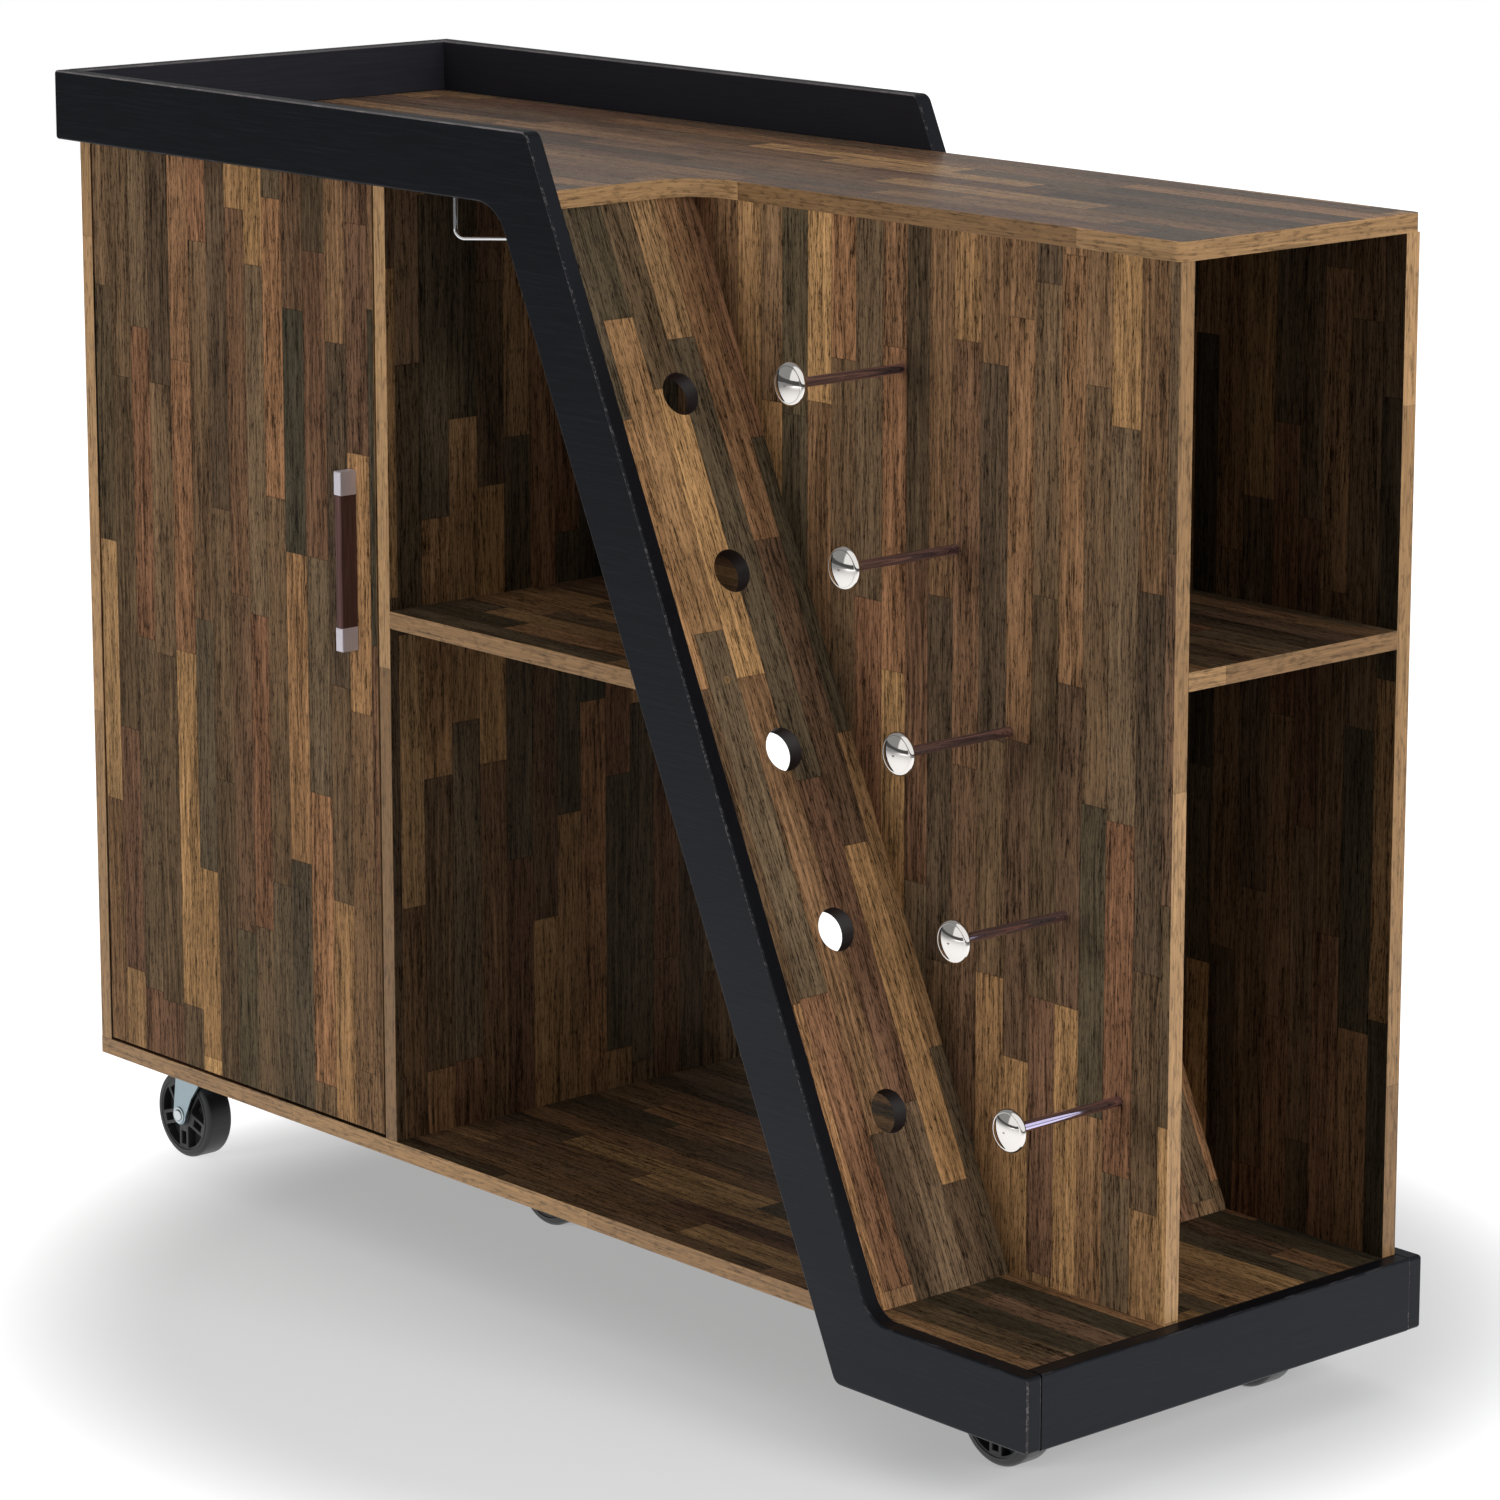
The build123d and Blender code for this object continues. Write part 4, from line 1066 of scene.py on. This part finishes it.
@dataclass
class Casters:
    """Swivel casters: wheels with softened edges, zinc forks, axle bolts and their collars."""

    places: Sequence[str] = ("front_left", "front_right", "rear_left", "rear_right", "middle")
    edge_round: float = 0.6 * MM
    sharp_angle: float = math.radians(35)
    bolt_head: float = 2.0 * MM
    collar_radius: float = 7.6 * MM
    collar_bore: float = 5.3 * MM
    collar_height: float = 0.9 * MM
    collar_rim: float = 0.3 * MM
    collar_sides: int = 48
    round_segments: int = 2
    merge_gap: float = 0.001 * MM
    flat_angle: float = math.radians(0.5)

    def build(self) -> None:
        """Model the wheels' softened forms and the collars round the bolts."""
        wheel_black = MouldedPlastic("wheel_plastic", srgb(22, 22, 24), 0.4)
        collar_zinc = BareMetal("collar_zinc", srgb(186, 196, 200), 0.28, 0.1, 0.15)
        for place in self.places:
            wheel = self.soften(f"{place}_caster_wheel", f"{place}_wheel_moulding")
            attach(wheel, f"{place}_wheel")
            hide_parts(f"{place}_caster_wheel")
            coat(wheel, wheel_black)
            low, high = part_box(f"{place}_caster_axle")
            axle = (low + high) / 2
            front = ("front", low.y + self.bolt_head, -1.0)
            back = ("back", high.y - self.bolt_head, 1.0)
            for side, seat_y, outward in (front, back):
                centre = Vector((axle.x, seat_y, axle.z))
                collar = self.ring(f"{place}_bolt_collar_{side}", centre, outward)
                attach(collar, f"{place}_fork")
                coat(collar, collar_zinc)

    def soften(self, node: str, name: str) -> bpy.types.Object:
        """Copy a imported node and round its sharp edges.

        Args:
            node: The node to copy.
            name: The new piece's name.

        Returns:
            The softened piece.
        """
        bpy.ops.object.select_all(action="DESELECT")
        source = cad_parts[node]
        piece = bpy.data.objects.new(name, source.data.copy())
        bpy.context.scene.collection.objects.link(piece)
        piece.select_set(True)
        bpy.context.view_layer.objects.active = piece
        bpy.ops.object.mode_set(mode="EDIT")
        bpy.ops.mesh.select_all(action="SELECT")
        bpy.ops.mesh.remove_doubles(threshold=self.merge_gap)
        bpy.ops.mesh.dissolve_limited(angle_limit=self.flat_angle)
        bpy.ops.object.mode_set(mode="OBJECT")
        self.round_edges(piece, self.edge_round)
        return piece

    def ring(self, name: str, centre: Vector, outward: float) -> bpy.types.Object:
        """Model a flat ring with a rounded rim, standing on a fork's leg.

        Args:
            name: The ring's name.
            centre: The middle of its seat, in metres.
            outward: The sign of the Y direction that it stands towards.

        Returns:
            The ring.
        """
        bpy.ops.object.select_all(action="DESELECT")
        bpy.ops.mesh.primitive_circle_add(
            vertices=self.collar_sides,
            radius=self.collar_radius,
            fill_type="NGON",
            location=centre,
            rotation=(-outward * math.pi / 2, 0.0, 0.0),
        )
        piece = bpy.context.object
        piece.name = name
        bpy.ops.object.transform_apply(location=True, rotation=True, scale=True)
        bpy.ops.object.mode_set(mode="EDIT")
        bpy.ops.mesh.select_all(action="SELECT")
        bpy.ops.mesh.inset(thickness=self.collar_radius - self.collar_bore)
        bpy.ops.mesh.delete(type="FACE")
        bpy.ops.mesh.select_all(action="SELECT")
        rise = {"value": (0.0, outward * self.collar_height, 0.0)}
        bpy.ops.mesh.extrude_region_move(TRANSFORM_OT_translate=rise)
        bpy.ops.mesh.select_all(action="SELECT")
        bpy.ops.mesh.normals_make_consistent(inside=False)
        bpy.ops.object.mode_set(mode="OBJECT")
        self.round_edges(piece, self.collar_rim)
        return piece

    def round_edges(self, piece: bpy.types.Object, width: float) -> None:
        """Round the sharp edges of the active piece and shade it smooth.

        Args:
            piece: The piece.
            width: How far the rounding reaches from each edge, in metres.
        """
        bevel = piece.modifiers.new("edge_round", "BEVEL")
        bevel.width = width
        bevel.segments = self.round_segments
        bevel.limit_method = "ANGLE"
        bevel.angle_limit = self.sharp_angle
        bpy.ops.object.modifier_apply(modifier=bevel.name)
        bpy.ops.object.shade_smooth_by_angle(angle=self.sharp_angle)

    def dress(self) -> None:
        """Zinc on the forks, plates, screws and axle bolts."""
        forks = [f"{place}_caster_fork" for place in self.places]
        axles = [f"{place}_caster_axle" for place in self.places]
        paint(forks, BareMetal("fork_zinc", srgb(156, 172, 178), 0.34, 0.2, 0.24))
        plate_zinc = BareMetal("plate_zinc", srgb(150, 160, 164), 0.38, 0.2, 0.24)
        paint(("caster_plates", "caster_screws"), plate_zinc)
        paint(axles, BareMetal("bolt_zinc", srgb(206, 212, 214), 0.22, 0.1, 0.12))


class Lamp(NamedTuple):
    """One square soft lamp: its name, place and side in metres, and power in watts."""

    name: str
    where: Triple
    side: float
    power: float


@dataclass
class Studio:
    """Pale floor, white surroundings, soft lamps and the camera."""

    lens: float = 128.7
    sensor: float = 36.0
    shift: float = -0.1
    eye: Triple = (3.2807, -2.8604, 1.4552)
    yaw: float = 0.845
    pitch: float = 0.199
    aim: Triple = (0.0, 0.0, 0.45)
    floor_side: float = 14.0
    floor_grey: Colour = srgb(176, 176, 177)
    floor_roughness: float = 0.9
    floor_shine: float = 0.1
    # painted shade: the floor's glow near the cabinet, lower than the white farther out
    floor_glow: float = 0.33
    # painted reflection: glow near the cabinet that only mirrors see
    floor_reflected_glow: float = 0.8
    shade_middle: float = 0.1
    shade_reach: Range = (0.50, 0.80)
    reflected_glow_reach: Range = (3.6, 0.6)
    low_fill: float = 0.10
    high_fill: float = 1.00
    fill_rise: Range = (0.35, 1.0)
    rear_fill: float = 0.16
    rear_reach: Range = (0.4, 1.2)
    dark_horizon: float = 0.08
    horizon_rise: Range = (0.03, 0.05)
    grey_panel: float = 0.30
    panel_slope: float = 0.575
    panel_edge: Range = (-0.05, 0.05)
    lamps: Sequence[Lamp] = (
        Lamp("front_lamp", (-0.5, -4.8, 1.05), 1.6, 134.0),
        Lamp("right_lamp", (2.9, 0.15, 1.25), 0.8, 48.0),
    )

    def build(self) -> None:
        """Set up everything around the cabinet."""
        self.add_camera()
        self.add_floor()
        self.add_sky()
        for lamp in self.lamps:
            self.add_lamp(lamp)
        bpy.context.scene.view_settings.view_transform = "Standard"

    def add_camera(self) -> None:
        """Place the camera at the photograph's viewing angle."""
        camera = bpy.data.cameras.new("camera")
        camera.lens = self.lens
        camera.sensor_width = self.sensor
        camera.shift_y = self.shift
        holder = bpy.data.objects.new("camera", camera)
        holder.location = self.eye
        holder.rotation_euler = (math.pi / 2 - self.pitch, 0.0, self.yaw)
        bpy.context.scene.collection.objects.link(holder)
        bpy.context.scene.camera = holder

    def add_lamp(self, lamp: Lamp) -> None:
        """Hang one lamp so that it faces the cabinet's middle, left out of reflections."""
        light = bpy.data.lights.new(lamp.name, "AREA")
        light.energy = lamp.power
        light.size = lamp.side
        holder = bpy.data.objects.new(lamp.name, light)
        holder.visible_glossy = False
        holder.location = lamp.where
        gaze = Vector(self.aim) - Vector(lamp.where)
        holder.rotation_euler = gaze.to_track_quat("-Z", "Y").to_euler()
        bpy.context.scene.collection.objects.link(holder)

    def add_floor(self) -> None:
        """Lay the pale floor: white to the camera away from the cabinet, with a painted grey shade
        zone round it over its real shadow, and a painted reflection glow near it that only mirrors
        see.
        """
        bpy.ops.object.select_all(action="DESELECT")
        bpy.ops.mesh.primitive_plane_add(size=self.floor_side)
        floor = bpy.context.object
        floor.name = "floor"
        surface = Surface("pale_floor")
        x, y, _ = surface.place()
        beside = x - self.shade_middle
        reach = (beside * beside + y * y) ** 0.5
        seen, mirrored = surface.rays()
        # painted shade zone: the glow drops near the cabinet
        glow = reach.ramp(*self.shade_reach).between(self.floor_glow, 1.0)
        # painted reflection: near the cabinet the floor glows in mirrors only
        reflected_glow = reach.ramp(*self.reflected_glow_reach) * self.floor_reflected_glow
        surface.dress(
            Base_Color=self.floor_grey,
            Roughness=self.floor_roughness,
            Specular_IOR_Level=self.floor_shine,
            Emission_Color=surface.grey(seen * glow + mirrored * reflected_glow),
            Emission_Strength=1.0,
        )
        floor.data.materials.append(surface.material)

    def add_sky(self) -> None:
        """Surround the cabinet with white for the camera, shades for reflections and a soft fill."""
        world = bpy.data.worlds.new("studio")
        bpy.context.scene.world = world
        world.use_nodes = True
        graph = Graph(world.node_tree)
        x, y, z = graph.split(graph.node("ShaderNodeTexCoord").outputs["Generated"])
        seen, mirrored = graph.rays()
        panel = (x - y * self.panel_slope).ramp(*self.panel_edge).between(self.grey_panel, 1.0)
        brightness = z.ramp(*self.horizon_rise).between(self.dark_horizon, panel)
        fill = z.ramp(*self.fill_rise).between(self.low_fill, self.high_fill)
        fill = fill + (y - x).ramp(*self.rear_reach) * self.rear_fill
        strength = seen + mirrored * brightness + (1.0 - seen - mirrored) * fill
        sockets = {"Color": WHITE, "Strength": strength}
        background = graph.node("ShaderNodeBackground", sockets=sockets)
        graph.node("ShaderNodeOutputWorld", sockets={"Surface": background.outputs[0]})


def main() -> None:
    """Build and dress the cabinet's sub-assemblies, then set up the studio."""
    logging.basicConfig(level=logging.INFO, format="%(name)s: %(message)s")
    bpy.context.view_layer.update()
    casters = Casters()
    casters.build()
    for assembly in (Carcass(), Frames(), LockerDoor(), BottleRack(), casters):
        assembly.dress()
    Studio().build()


if __name__ == "__main__":
    main()
